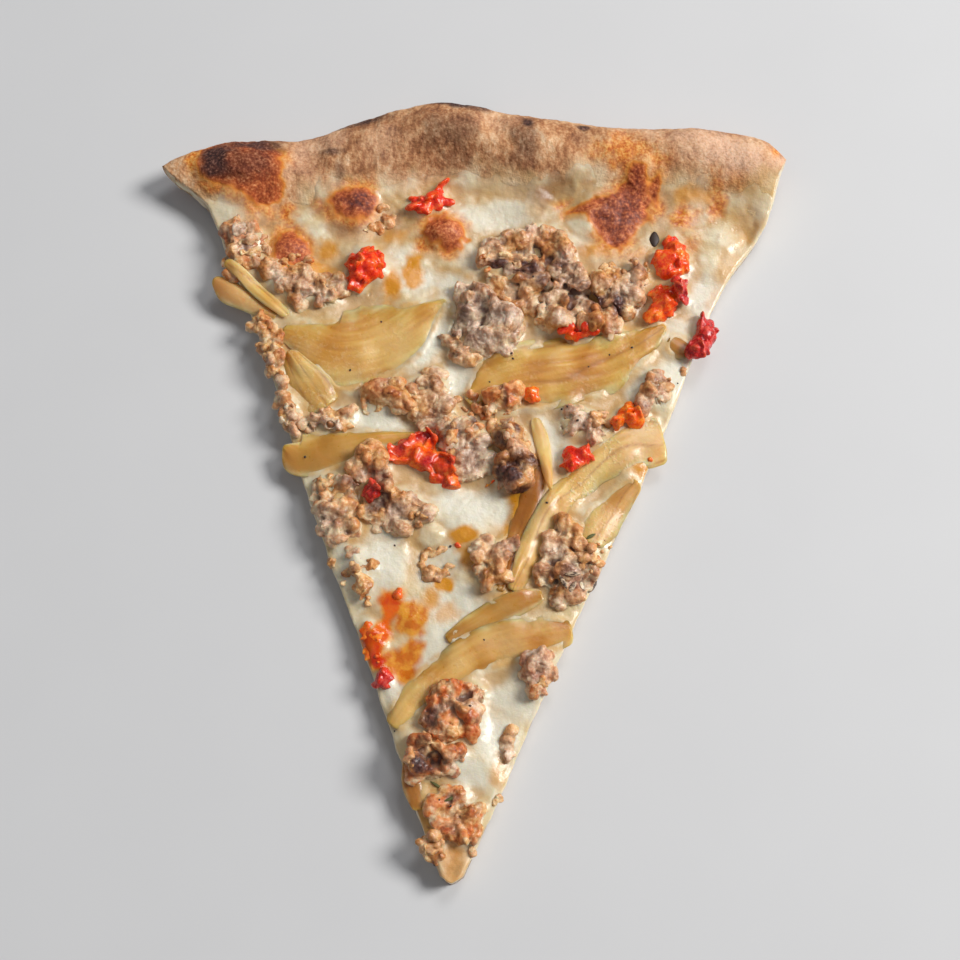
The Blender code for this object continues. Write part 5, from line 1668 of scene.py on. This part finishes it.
FOCAL = 56.25
SENSOR_WIDTH = 36.0
CAMERA_PLACE = np.array((9.3, -20.4, 408.9))
CAMERA_AIM = np.array((3.1, 113.2, 16.0))
CAMERA_ROLL = math.radians(-0.3)
FLOOR_HALF = 4.0            # in metres
LIGHTS_AIM = (0.0, 120.0, 0.0)
# Name, place, size in metres, power in watts and colour of each light.
LIGHTS = (
    ("window", (1550.0, 560.0, 1500.0), 0.9, 48.0, (1.0, 0.99, 0.97)),
    ("sheen", (420.0, 1150.0, 1500.0), 0.7, 7.0, (0.98, 0.99, 1.0)),
    ("room", (-500.0, -300.0, 1100.0), 1.4, 1.2, (0.95, 0.97, 1.0)),
)
SKY_COLOUR = (0.93, 0.95, 1.0, 1.0)
SKY_STRENGTH = 0.14


def to_row(point):
    return Vector((np.asarray(point) + APEX) * MM)


def make_floor(finish):
    half = FLOOR_HALF
    mesh = bpy.data.meshes.new("floor")
    mesh.from_pydata([(-half, -half, 0.0), (half, -half, 0.0), (half, half, 0.0), (-half, half, 0.0)],
                     [], [(0, 1, 2, 3)])
    mesh.materials.append(finish)
    add_object("floor", mesh)


def aim_at(holder, place_at, aim, roll=0.0):
    """Places an object and points its -Z at an aim."""
    holder.location = to_row(place_at)
    look = (to_row(aim) - holder.location).to_track_quat("-Z", "Y")
    holder.rotation_euler = (look @ Matrix.Rotation(roll, 3, "Z").to_quaternion()).to_euler()


def add_light(name, place_at, size, power, colour):
    light = bpy.data.lights.new(name, "AREA")
    light.shape = "DISK"
    light.size = size
    light.energy = power
    light.color = colour
    aim_at(add_object(name, light), place_at, LIGHTS_AIM)


def make_lights():
    for light in LIGHTS:
        add_light(*light)
    world = bpy.data.worlds.new("soft room")
    world.use_nodes = True
    sky = world.node_tree.nodes["Background"]
    sky.inputs["Color"].default_value = SKY_COLOUR
    sky.inputs["Strength"].default_value = SKY_STRENGTH
    bpy.context.scene.world = world
    bpy.context.scene.view_settings.view_transform = "Standard"
    bpy.context.scene.view_settings.look = "None"


def make_camera():
    lens = bpy.data.cameras.new("camera")
    lens.lens = FOCAL
    lens.sensor_width = SENSOR_WIDTH
    lens.clip_start = 0.01
    camera = add_object("camera", lens)
    aim_at(camera, CAMERA_PLACE, CAMERA_AIM, CAMERA_ROLL)
    bpy.context.scene.camera = camera


# --------------------------------------------------------------------------- scene

make_camera()
make_lights()
make_floor(floor_finish())
surfaces = [make_dough(crust_finish()), make_cheese(cheese_finish())]
onion_look = onion_finish()
for number, line in enumerate(ONION):
    surfaces.append(make_onion(number, line, onion_look))
meat_look = meat_finish()
for number, look in enumerate(MEAT):
    surfaces.append(make_meat(number, look, meat_look))
pepper_look = pepper_finish()
for number, look in enumerate(PEPPER):
    make_pepper(number, look, pepper_look)
trees = [tree_of(*surface) for surface in surfaces]
make_crumbs(trees, meat_look, pepper_look)
make_pods(trees)
